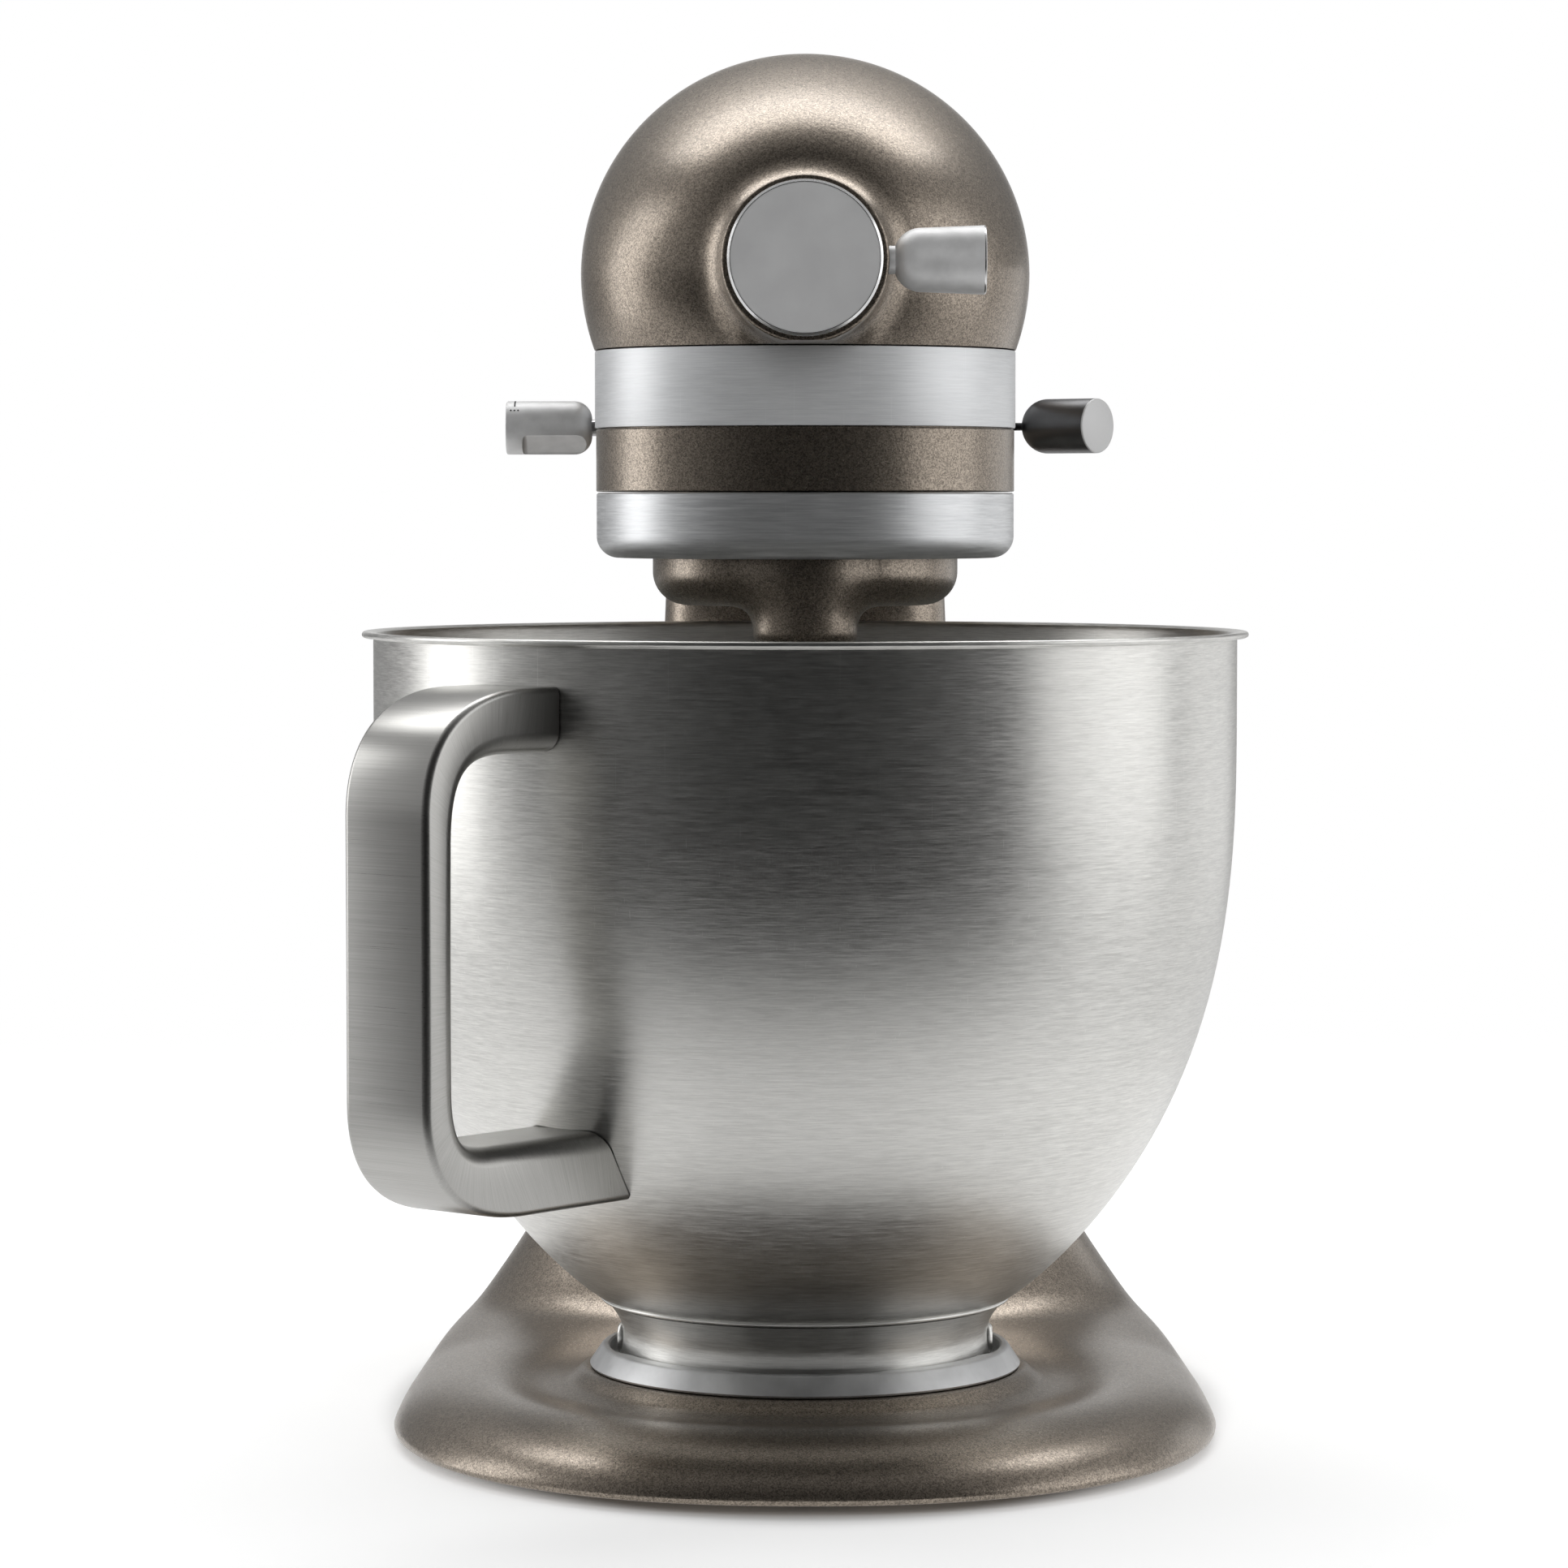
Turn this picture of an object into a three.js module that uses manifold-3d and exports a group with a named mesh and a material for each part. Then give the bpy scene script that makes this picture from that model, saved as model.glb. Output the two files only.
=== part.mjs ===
import * as THREE from 'three';
import { mergeVertices } from 'three/addons/utils/BufferGeometryUtils.js';
import Module from 'manifold-3d';

// Tilt-head stand mixer with a 4.7 litre bowl. Millimetres, Z up, floor at Z = 0, front toward -Y.
// Every shape is drawn about the bowl axis (X = 0, Y = 0); the last group centres the machine.

const wasm = await Module();
wasm.setup();

// ---- Driving dimensions -------------------------------------------------------------------------

const GAP = 0.3;                 // air between pieces that touch
const RUN = 0.35;                // radial air round a turning or sliding piece
const OVERCUT = 5;               // how far a cutting tool runs past the metal it cuts

// Head: a body of revolution about a level axis, cut flat where the trim band begins
const HEAD_AXIS_Z = 298.2;
const HEAD_R = 57.1;
const HEAD_REAR_Y = 241.2;
const HEAD_TAPER_POWER = 4;      // how late the head begins to narrow toward its rear
const HEAD_NOSE_POWER = 2.4;     // how blunt its rear end is
const HEAD_WALL = 3.6;
const HEAD_LEAN = 18;            // how far the top of the dome lies behind its sides
const HEAD_LEAN_INNER_R = 27.2;  // the hub boss inside this radius stays upright
const HEAD_LEAN_END_Y = 110;     // behind this the head is straight again
const BAND_TOP_Z = 278.5;
const BAND_H = 19.6;
const BAND_T = 2.2;
const LOWER_H = 16.1;
const LOWER_WALL = 3;
const LOWER_FLOOR_T = 4.2;
const LOWER_EDGE_R = 8;          // rounding of the lower housing's bottom edge behind the drip ring
const EDGE_START_Y = 30;         // where that rounding begins
const EDGE_FULL_Y = 85;
const REAR_SEAM_Y = 196;
const REAR_RISE = 9;             // how far the underside rises toward the rear end
const REAR_DECK_Y = 204;         // behind this the lower housing is solid up to the band

// Attachment hub on the front of the head
const BOSS_R = 20.2;
const BOSS_FRONT_Y = -84;
const BOSS_EDGE = 1;
const BOSS_FILLET_R = 13;
const HUB_BORE_R = 15.8;
const HUB_BORE_END_Y = -24;
const HUB_BORE_WALL = 4;
const COVER_R = 18.65;
const COVER_T = 5.6;
const COVER_EDGE = 0.7;
const COVER_PLUG_L = 15;
const COVER_PLUG_WALL = 1.8;
const THUMB_Y = -76;
const THUMB_R = 8.3;
const THUMB_L = 22.3;
const THUMB_NECK_L = 1;          // neck between the boss and the thumb-screw's grip
const THUMB_FLARE = 0.6;
const THUMB_SCREW_R = 3.4;
const HUB_SOCKET_Y = -50;
const HUB_SQUARE = 12.4;

// Drip ring and planetary under the head
const RING_R = 53.2;
const RING_H = 16.8;
const RING_ROUND = 5.5;
const RING_WALL = 2.8;
const RING_FLOOR_T = 2.4;
const CARRIER_R = 38.9;
const CARRIER_Z = 214;           // underside of the carrier
const CARRIER_ROUND = 8.5;
const CARRIER_EDGE = 1;
const BEATER_BOSS_R = 13;
const BEATER_BOSS_Z = 204.5;
const BEATER_BOSS_EDGE = 2.5;
const BEATER_BOSS_FLARE = 5;     // fillet between the boss and the carrier's underside
const BEATER_SHAFT_R = 6.35;
const BEATER_SHAFT_L = 32;       // length that shows below the boss
const BEATER_TIP = 2;
const CROSS_PIN_R = 2.2;
const CROSS_PIN_RISE = 9;        // from the shaft's tip up to the pin
const CROSS_PIN_REACH = 5.5;     // length of the pin outside the shaft, on each side
const CENTRE_SHAFT_R = 6;

// Gears: the pinion rolls inside the ring gear, and a bevel pair turns the attachment hub
const GEAR_MODULE = 1.3;
const PINION_TEETH = 14;
const RING_TEETH = 59;
const GEAR_H = 9;
const TOOTH_TIP = 0.27;          // half of a tooth's width at its tip, in modules
const TOOTH_FOOT = 1.15;         // and at its foot
const TOOTH_ROOT = 1.25;         // depth of a tooth below the pitch circle
const RING_GEAR_WALL = 7;
const BEVEL_TEETH = 18;
const BEVEL_WIDTH = 5;
const BEVEL_NECK = 2.5;          // the bevels' hubs are this much smaller than their pitch circle

// Small fittings of the motor head
const BRUSH_Y = 150;
const BRUSH_CAP_R = 9;
const BRUSH_CAP_H = 8;
const BRUSH_CAP_PROUD = 0.4;
const BRUSH_CAP_EDGE = 0.8;
const COIN_SLOT_L = 14;
const COIN_SLOT_W = 2;
const COIN_SLOT_DEPTH = 1.4;
const GLAND_Y = 218;
const GLAND_R = 6;
const GLAND_BORE_R = 3.5;
const GLAND_FLANGE = 1.5;
const GLAND_DROP = 5;            // length of the gland below the housing
const VENT_COUNT = 3;
const VENT_PITCH = 6;
const VENT_W = 3;
const VENT_L = 12;
const VENT_Y = 206;

// Levers at the lower edge of the trim band
const KNOB_R = 7.3;
const KNOB_L = 23.4;
const GRIP_ROUND = 0.8;          // share of a grip's radius that rounds its inner end
const GRIP_EDGE = 0.5;
const LEVER_Z = 260.5;
const SPEED_PIVOT = [34, 96];
const SPEED_REACH = 56.8;        // lever pivot to the knob's outer end
const SPEED_REST = -39;          // degrees from straight out, minus is toward the front
const SPEED_SWEEP = 70;
const SPEED_PLATE_T = 2;
const SPEED_PLATE_W = 7;
const LOCK_PIVOT = [-40, 100];
const LOCK_REACH = 41.8;
const LOCK_SWEEP = 30;
const LOCK_ROD_R = 2.25;
const LOCK_ARM_W = 8;
const LOCK_ARM_T = 2.1;
const LOCK_PIN_R = 4;
const LOCK_PIN_HEAD_R = 6.5;
const LOCK_PIN_HEAD_T = 4;
const LOCK_PIN_TRAVEL = 10;
const LEVER_HUB_R = 6;
const LEVER_HUB_H = 8;
const LEVER_POST_R = 3;
const ROD_SEAT_L = 12;           // length of rod inside a knob
const SLOT_AIR = 0.9;            // air above and below a rod in its slot

// Base casting
const BASE_HALF_W = 105.8;
const BASE_WIDEST_Y = 8;
const BASE_FRONT_L = 120;
const BASE_REAR_L = 220;
const BASE_FRONT_POWER = 2.2;    // how square the outline is in front
const BASE_REAR_POWER = 2.6;     // how much straighter it runs behind
const BASE_Z = 2.8;              // lower edge of the casting
const BASE_EDGE_Z = 6;           // height at which the outline is widest
const BASE_PAD_Z = 16.8;
const BASE_DIP = 2.2;
const BASE_DIP_R = 68;
const BASE_DIP_W = 10;
const BASE_ROLL_POWER = 12;      // how tightly the pad rolls over at its edge
const BASE_BLEND = 6.3;          // softness of the turn from the pad into the pedestal's sweep
const BASE_WALL = 4.5;
const BASE_RIB_T = 3;
const BASE_RIB_END = 160;         // ribs run out from the seat to here
const BASE_SEAM_Z = 48;
const SEAT_Z = 18.6;
const SEAT_R = 56.4;
const FOOT_PAD_R = 11;
const FOOT_STEM_R = 4;
const FOOT_STEM_Z = 8;
const FOOT_END_INSET = 26;       // feet inside the base's front end
const FOOT_SIDE_INSET = 25.8;    // feet inside its widest place
const FOOT_REAR_INSET = 52;
const FOOT_REAR_X = 56;
const FOOT_SIDE_Y = 18;

// Bowl, its foot and handle
const BOWL_R = 110.1;
const BOWL_T = 1.4;
const BOWL_CURVE_TOP_Z = 186;
const BOWL_BOTTOM_Z = 27.4;
const BOWL_RISE_POWER = 2.76;    // the wall's curve: how soon it stands upright
const BOWL_BELLY_POWER = 1.153;  // and how full its lower part is
const FLOOR_DOME_POWER = 2.6;
const RIM_LIP = 2.9;             // how far the rim stands out from the wall
const RIM_Z = 207.4;
const RIM_H = 3;
const FOOT_SEAM_R = 51.6;
const FOOT_SEAM_Z = 36.5;
const FOOT_WAIST_R = 46.8;
const FOOT_WAIST_Z = 27;
const FOOT_FLANGE = 3;
const FOOT_T = 1.5;
const HANDLE_AZIMUTH = 39;       // degrees from the front toward -X
const HANDLE_STAND = 45.9;       // handle's outer face from the bowl's wall
const HANDLE_W = 26.8;
const HANDLE_T = 11.4;
const HANDLE_EDGE_R = 1.6;
const HANDLE_TOP_Z = 196.2;
const HANDLE_BOTTOM_Z = 70.6;
const HANDLE_TOP_ARM_T = 15.7;
const HANDLE_BOTTOM_ARM_T = 17.4;
const HANDLE_CORNER = 33.4;      // length of the outer bends at the handle's corners
const HANDLE_INNER_CORNER = 17;

// Clamp plate that the bowl twists into
const PLATE_R = 55.3;
const PLATE_TOP_R = 51.6;
const PLATE_H = 5.3;
const PLATE_FLOOR_T = 1.4;
const PLATE_WELL_R = 50.2;
const LUG_COUNT = 4;
const LUG_HALF_ANGLE = 6;
const TAB_HALF_ANGLE = 24;
const TAB_DEPTH = 1.8;
const TAB_T = 1.5;

// Pedestal and its hinge
const COLUMN_HALF_W = 36.7;
const COLUMN_DEPTH = 76;
const COLUMN_AIR = 9;            // between the bowl's rim and the pedestal
const COLUMN_CORNER_R = 14;
const COLUMN_REAR_SQUEEZE = 1.8; // the flare grows this much less toward the rear
const FLARE = 72;                // width that the flare adds at the floor
const FLARE_DECAY = 63.5;        // height in which it shrinks by e
const COLUMN_WALL = 6;
const COLUMN_ROOF_T = 10;        // metal above the column's hollow, under the hinge slot
const HINGE_INSET = 18;          // hinge axis inside the pedestal's rear
const HINGE_Z = 224;
const HINGE_PIN_R = 4;
const HINGE_LUG_R = 14;
const HINGE_LUG_WRAP = 235;      // degrees of the lug's rounded end
const HINGE_LUG_HALF_W = 15;
const HINGE_LUG_AIR = 2;
const LOCK_PIN_INSET = 16;       // head lock's bolt inside the pedestal's front
const TILT_MAX = 35;
const TILT_AIR = 1;              // air between the head's underside and the pedestal

// ---- Sizes that follow from them ----------------------------------------------------------------

const RIM_R = BOWL_R + RIM_LIP;
const HANDLE_REACH = BOWL_R + HANDLE_STAND;
const COLUMN_FRONT_Y = RIM_R + COLUMN_AIR;
const COLUMN_REAR_Y = COLUMN_FRONT_Y + COLUMN_DEPTH;
const HINGE_Y = COLUMN_REAR_Y - HINGE_INSET;
const LOCK_PIN_Y = COLUMN_FRONT_Y + LOCK_PIN_INSET;
const BAND_BOTTOM_Z = BAND_TOP_Z - BAND_H;
const BAND_DROP = HEAD_AXIS_Z - BAND_TOP_Z;
const LOWER_Z = BAND_BOTTOM_Z - LOWER_H;
const RING_Z = LOWER_Z - RING_H;
const BOSS_END_Y = BOSS_FRONT_Y - GAP;
const BEATER_OFFSET = (RING_TEETH - PINION_TEETH) * GEAR_MODULE / 2;
const RING_HOLE_R = BEATER_OFFSET + BEATER_BOSS_R + 3 * RUN;
const PINION_Z = LOWER_Z - GAP - GEAR_H;
const CARRIER_TOP_Z = PINION_Z - 3 * GAP;
const BEATER_SHAFT_Z = BEATER_BOSS_Z - BEATER_SHAFT_L;
const CROSS_PIN_Z = BEATER_SHAFT_Z + CROSS_PIN_RISE;
const BEVEL_PITCH_R = BEVEL_TEETH * GEAR_MODULE / 2;
const LOCK_ARM_Z = LEVER_Z + LEVER_HUB_H / 2;
const BASE_FRONT_Y = BASE_WIDEST_Y - BASE_FRONT_L;
const BASE_REAR_Y = BASE_WIDEST_Y + BASE_REAR_L;
const PLATE_Z = SEAT_Z + GAP;
const FOOT_Z = PLATE_Z + PLATE_FLOOR_T + GAP;

const FEET = {
  foot_front: [0, BASE_FRONT_Y + FOOT_END_INSET],
  foot_left: [FOOT_SIDE_INSET - BASE_HALF_W, FOOT_SIDE_Y],
  foot_right: [BASE_HALF_W - FOOT_SIDE_INSET, FOOT_SIDE_Y],
  foot_rear_left: [-FOOT_REAR_X, BASE_REAR_Y - FOOT_REAR_INSET],
  foot_rear_right: [FOOT_REAR_X, BASE_REAR_Y - FOOT_REAR_INSET],
};

const LOOKS = {
  paint: { color: 0x6b5f55, metalness: 0.55, roughness: 0.38 },
  aluminium: { color: 0xb9bbbd, metalness: 1, roughness: 0.3 },
  castAluminium: { color: 0xc4c5c6, metalness: 0.9, roughness: 0.45 },
  stainless: { color: 0x9c9a95, metalness: 1, roughness: 0.28 },
  steel: { color: 0x8d8d8f, metalness: 1, roughness: 0.35 },
  darkSteel: { color: 0x3a3a3c, metalness: 1, roughness: 0.35 },
  greyDisc: { color: 0x8a8a8a, metalness: 0.6, roughness: 0.6 },
  rubber: { color: 0x1c1c1c, metalness: 0, roughness: 0.9 },
  blackPlastic: { color: 0x222222, metalness: 0, roughness: 0.55 },
};

// ---- Shape helpers ------------------------------------------------------------------------------

const radians = THREE.MathUtils.degToRad;
const lerp = THREE.MathUtils.lerp;
const smoothstep = THREE.MathUtils.smoothstep;

/** Six times the volume that a triangle mesh encloses, negative when it is inside out. */
function signedVolume(positions, indices) {
  const a = new THREE.Vector3();
  const b = new THREE.Vector3();
  const c = new THREE.Vector3();
  let volume = 0;
  for (let i = 0; i < indices.length; i += 3) {
    a.fromArray(positions, 3 * indices[i]);
    b.fromArray(positions, 3 * indices[i + 1]);
    c.fromArray(positions, 3 * indices[i + 2]);
    volume += a.dot(b.cross(c));
  }
  return volume;
}

/** A three.js geometry as a manifold solid with its faces pointing out. */
function solid(geometry) {
  geometry.deleteAttribute('normal');
  geometry.deleteAttribute('uv');
  const merged = mergeVertices(geometry, 1e-4);
  const positions = new Float32Array(merged.attributes.position.array);
  const indices = [];
  const index = merged.index.array;
  for (let i = 0; i < index.length; i += 3) {
    const [a, b, c] = [index[i], index[i + 1], index[i + 2]];
    if (a !== b && b !== c && c !== a) indices.push(a, b, c);
  }
  if (signedVolume(positions, indices) < 0) indices.reverse();
  return new wasm.Manifold(new wasm.Mesh({
    numProp: 3,
    vertProperties: positions,
    triVerts: new Uint32Array(indices),
  }));
}

/** Lathe geometry of a [radius, height] profile, closed on itself where it ends off the axis. */
function lathe(profile, segments) {
  const points = profile.map(([r, h]) => new THREE.Vector2(r, h));
  if (points[0].x > 0 || points.at(-1).x > 0) points.push(points[0].clone());
  return new THREE.LatheGeometry(points, segments);
}

/** Full turn of a [radius, z] profile about the bowl axis. */
function revolve(profile, segments = 48) {
  return solid(lathe(profile, segments).rotateX(Math.PI / 2));
}

/** Full turn of a [radius, y] profile about the head's level axis. */
function revolveHead(profile, segments = 48) {
  return solid(lathe(profile, segments).translate(0, 0, HEAD_AXIS_Z));
}

/** Full turn like revolveHead, with the top of the dome drawn back over the bowl. */
function revolveDome(profile, segments) {
  const geometry = lathe(profile, segments);
  const position = geometry.attributes.position;
  for (let i = 0; i < position.count; i += 1) {
    const [x, y, z] = [position.getX(i), position.getY(i), position.getZ(i)];
    const outward = smoothstep(Math.hypot(x, z), HEAD_LEAN_INNER_R, HEAD_R);
    const forward = 1 - smoothstep(y, 0, HEAD_LEAN_END_Y);
    position.setY(i, y + HEAD_LEAN * outward * forward * Math.max(z, 0) / HEAD_R);
  }
  return solid(geometry.translate(0, 0, HEAD_AXIS_Z));
}

/** Full turn of a [radius, x] profile about the X axis. */
function revolveX(profile, segments = 16) {
  return solid(lathe(profile, segments).rotateZ(-Math.PI / 2));
}

/** Upright prism of a closed [x, y] outline between two heights. */
function prism(outline, z0, z1) {
  const shape = outline instanceof THREE.Shape
    ? outline
    : new THREE.Shape(outline.map(([x, y]) => new THREE.Vector2(x, y)));
  const geometry = new THREE.ExtrudeGeometry(shape, { depth: z1 - z0, bevelEnabled: false });
  return solid(geometry.translate(0, 0, z0));
}

/** Upright cylinder. */
function post(x, y, r, z0, z1, segments = 24) {
  const geometry = new THREE.CylinderGeometry(r, r, z1 - z0, segments).rotateX(Math.PI / 2);
  return solid(geometry.translate(x, y, (z0 + z1) / 2));
}

/** Cylinder along X. */
function barX(y, z, r, x0, x1, segments = 24) {
  const geometry = new THREE.CylinderGeometry(r, r, x1 - x0, segments).rotateZ(Math.PI / 2);
  return solid(geometry.translate((x0 + x1) / 2, y, z));
}

/** Cylinder along Y. */
function barY(x, z, r, y0, y1, segments = 24) {
  const geometry = new THREE.CylinderGeometry(r, r, y1 - y0, segments);
  return solid(geometry.translate(x, (y0 + y1) / 2, z));
}

/** Box from one corner to the other. */
function block([x0, y0, z0], [x1, y1, z1]) {
  const geometry = new THREE.BoxGeometry(x1 - x0, y1 - y0, z1 - z0);
  return solid(geometry.translate((x0 + x1) / 2, (y0 + y1) / 2, (z0 + z1) / 2));
}

/**
 * Skin over closed rings of equal length. Point i of a ring mirrors point n - i across X = 0,
 * so both ends are closed by strips that run straight across.
 */
function loft(rings) {
  const n = rings[0].length;
  const positions = rings.flat(2);
  const indices = [];
  for (let k = 0; k + 1 < rings.length; k += 1) {
    for (let i = 0; i < n; i += 1) {
      const j = (i + 1) % n;
      const [a, b, c, d] = [k * n + i, k * n + j, (k + 1) * n + j, (k + 1) * n + i];
      indices.push(a, b, c, a, c, d);
    }
  }
  for (const [start, flip] of [[0, true], [(rings.length - 1) * n, false]]) {
    for (let i = 0; i < n / 2; i += 1) {
      const [a, b, c, d] = [start + i, start + i + 1, start + n - i - 1, start + (n - i) % n];
      if (flip) indices.push(a, c, b, a, d, c);
      else indices.push(a, b, c, a, c, d);
    }
  }
  const geometry = new THREE.BufferGeometry();
  geometry.setAttribute('position', new THREE.Float32BufferAttribute(positions, 3));
  geometry.setIndex(indices);
  return solid(geometry);
}

/** Points of an arc about [cx, cy], angles in degrees, both ends included. */
function arc(cx, cy, r, from, to, steps) {
  return Array.from({ length: steps + 1 }, (_, i) => {
    const angle = radians(lerp(from, to, i / steps));
    return [cx + r * Math.cos(angle), cy + r * Math.sin(angle)];
  });
}

/** A ring, in plan, whose two halves mirror each other: half runs from the front to the rear. */
function mirrored(half) {
  const left = half.slice(1, -1).reverse().map(([x, ...rest]) => [-x, ...rest]);
  return [...half, ...left];
}

const root = new THREE.Group();

/** Adds one named piece with a material of its own. */
function piece(name, body, look) {
  const { vertProperties, triVerts } = body.getMesh();
  const geometry = new THREE.BufferGeometry();
  geometry.setAttribute('position', new THREE.BufferAttribute(vertProperties, 3));
  geometry.setIndex(new THREE.BufferAttribute(triVerts, 1));
  geometry.computeVertexNormals();
  const mesh = new THREE.Mesh(geometry, new THREE.MeshStandardMaterial(LOOKS[look]));
  mesh.name = name;
  root.add(mesh);
}

// ---- Head outline -------------------------------------------------------------------------------

/** Radius of the head at a distance y along its axis: a sphere in front, a long nose behind. */
function headRadius(y) {
  if (y < 0) return Math.sqrt(HEAD_R ** 2 - y ** 2);
  return HEAD_R * (1 - (y / HEAD_REAR_Y) ** HEAD_TAPER_POWER) ** (1 / HEAD_NOSE_POWER);
}

/** Distance along the axis at which the rear of the head has shrunk to a radius. */
function headRearAt(radius) {
  return HEAD_REAR_Y * (1 - (radius / HEAD_R) ** HEAD_NOSE_POWER) ** (1 / HEAD_TAPER_POWER);
}

/** Right half, front to rear, of the head's outline at the trim band, drawn in by inset. */
function bandHalf(inset, frontSteps = 7, rearSteps = 8) {
  const frontR = Math.sqrt(HEAD_R ** 2 - BAND_DROP ** 2) - inset;
  const rearEnd = headRearAt(Math.hypot(BAND_DROP, inset));
  const half = arc(0, 0, frontR, -90, 0, frontSteps);
  half[0][0] = 0;
  for (let i = 1; i <= rearSteps; i += 1) {
    const y = rearEnd * Math.sin(Math.PI / 2 * i / rearSteps);
    const width = Math.sqrt(Math.max(headRadius(y) ** 2 - BAND_DROP ** 2, 0)) - inset;
    half.push([i === rearSteps ? 0 : width, y]);
  }
  return half;
}

/** Upright wall that follows the head's outline. */
function bandPrism(inset, z0, z1, steps = 8) {
  return prism(mirrored(bandHalf(inset, steps, steps)), z0, z1);
}

// ---- Upper housing and rear cover ---------------------------------------------------------------

/** Outer profile of the upper housing, from the hub boss over the dome to the rear seam. */
function upperProfile() {
  const filletR = BOSS_R + BOSS_FILLET_R;
  const filletY = -Math.sqrt((HEAD_R + BOSS_FILLET_R) ** 2 - filletR ** 2);
  const touch = THREE.MathUtils.radToDeg(Math.atan2(-filletY, filletR));
  const profile = [
    [0, BOSS_FRONT_Y], [BOSS_R - BOSS_EDGE, BOSS_FRONT_Y], [BOSS_R, BOSS_FRONT_Y + BOSS_EDGE],
  ];
  profile.push(...arc(filletR, filletY, BOSS_FILLET_R, 180, 180 - touch, 4));
  profile.push(...arc(0, 0, HEAD_R, -touch, 0, 6).slice(1));
  for (let i = 1; i <= 5; i += 1) {
    const y = REAR_SEAM_Y * i / 5;
    profile.push([headRadius(y), y]);
  }
  profile.push([0, REAR_SEAM_Y]);
  return profile;
}

/** Inside of the upper housing, one wall thickness in. */
function upperCavityProfile() {
  const frontR = HEAD_R - HEAD_WALL;
  const profile = arc(0, 0, frontR, -90, 0, 6);
  profile[0][0] = 0;
  for (let i = 1; i <= 5; i += 1) {
    const y = REAR_SEAM_Y * i / 5;
    profile.push([headRadius(y) - HEAD_WALL, y]);
  }
  const openEnd = REAR_SEAM_Y + OVERCUT;
  profile.push([headRadius(REAR_SEAM_Y) - HEAD_WALL, openEnd], [0, openEnd]);
  return profile;
}

const aboveBand = block(
  [-HEAD_R - OVERCUT, BOSS_FRONT_Y - OVERCUT, BAND_TOP_Z + GAP],
  [HEAD_R + OVERCUT, HEAD_REAR_Y + OVERCUT, HEAD_AXIS_Z + HEAD_R + OVERCUT],
);

function upperHousing() {
  const socketR = HUB_BORE_R + HUB_BORE_WALL;
  const socketY = BOSS_FRONT_Y + 2 * HUB_BORE_R;
  const boreEndY = HUB_BORE_END_Y + OVERCUT;
  const socketWall = barY(0, HEAD_AXIS_Z, socketR, socketY, HUB_BORE_END_Y);
  const bore = barY(0, HEAD_AXIS_Z, HUB_BORE_R, BOSS_FRONT_Y - OVERCUT, boreEndY);
  const thumbHole = barX(
    THUMB_Y, HEAD_AXIS_Z, THUMB_SCREW_R + RUN, HUB_BORE_R - OVERCUT, BOSS_R + OVERCUT,
  );
  const brushHoles = barX(BRUSH_Y, HEAD_AXIS_Z, BRUSH_CAP_R + GAP, -HEAD_R, HEAD_R);
  return revolveDome(upperProfile(), 28)
    .subtract(revolveDome(upperCavityProfile(), 16))
    .add(socketWall)
    .subtract(bore)
    .subtract(thumbHole)
    .subtract(brushHoles)
    .intersect(aboveBand);
}

function rearCover() {
  const outer = [];
  const inner = [];
  const steps = 4;
  for (let i = 0; i <= steps; i += 1) {
    const turn = Math.sin(Math.PI / 2 * i / steps);
    const y = lerp(REAR_SEAM_Y + 2 * GAP, HEAD_REAR_Y, turn);
    outer.push([i === steps ? 0 : headRadius(y), y]);
    const yIn = lerp(REAR_SEAM_Y + 2 * GAP, HEAD_REAR_Y - HEAD_WALL, turn);
    const shrink = 1 - HEAD_WALL / headRadius(REAR_SEAM_Y);
    const rIn = i === steps ? 0 : headRadius(yIn) * shrink;
    inner.unshift([rIn, yIn]);
  }
  return revolveHead([...outer, ...inner], 28).intersect(aboveBand);
}

// ---- Trim band and lower housing ----------------------------------------------------------------

/** Openings through which the two lever rods reach the outside. */
function leverSlots() {
  const speedX = bandWidthAt(SPEED_PIVOT[1]) - SPEED_PIVOT[0];
  const forward = speedX * Math.tan(radians(-SPEED_REST)) + SPEED_PLATE_W;
  const backward = speedX * Math.tan(radians(SPEED_SWEEP + SPEED_REST)) + SPEED_PLATE_W;
  const lockX = bandWidthAt(LOCK_PIVOT[1]) + LOCK_PIVOT[0];
  const lockBack = lockX * Math.tan(radians(LOCK_SWEEP)) + 2 * LOCK_ROD_R;
  const bottom = BAND_BOTTOM_Z - SLOT_AIR;
  const speedTop = LEVER_Z + SPEED_PLATE_T / 2 + SLOT_AIR;
  const lockTop = LEVER_Z + 2 * LOCK_ROD_R + SLOT_AIR;
  const innerX = HEAD_R / 2 + BAND_DROP * 0.75;
  const outerX = HEAD_R + OVERCUT;
  const speed = block(
    [innerX, SPEED_PIVOT[1] - forward, bottom],
    [outerX, SPEED_PIVOT[1] + backward, speedTop],
  );
  const lock = block(
    [-outerX, LOCK_PIVOT[1] - 2 * LOCK_ROD_R, bottom],
    [-innerX, LOCK_PIVOT[1] + lockBack, lockTop],
  );
  return speed.add(lock);
}

/** Half-width of the trim band at a distance y along the head. */
function bandWidthAt(y) {
  return Math.sqrt(headRadius(y) ** 2 - BAND_DROP ** 2);
}

function trimBand() {
  return bandPrism(0, BAND_BOTTOM_Z, BAND_TOP_Z)
    .subtract(bandPrism(BAND_T, BAND_BOTTOM_Z - OVERCUT, BAND_TOP_Z + OVERCUT))
    .subtract(leverSlots());
}

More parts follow.
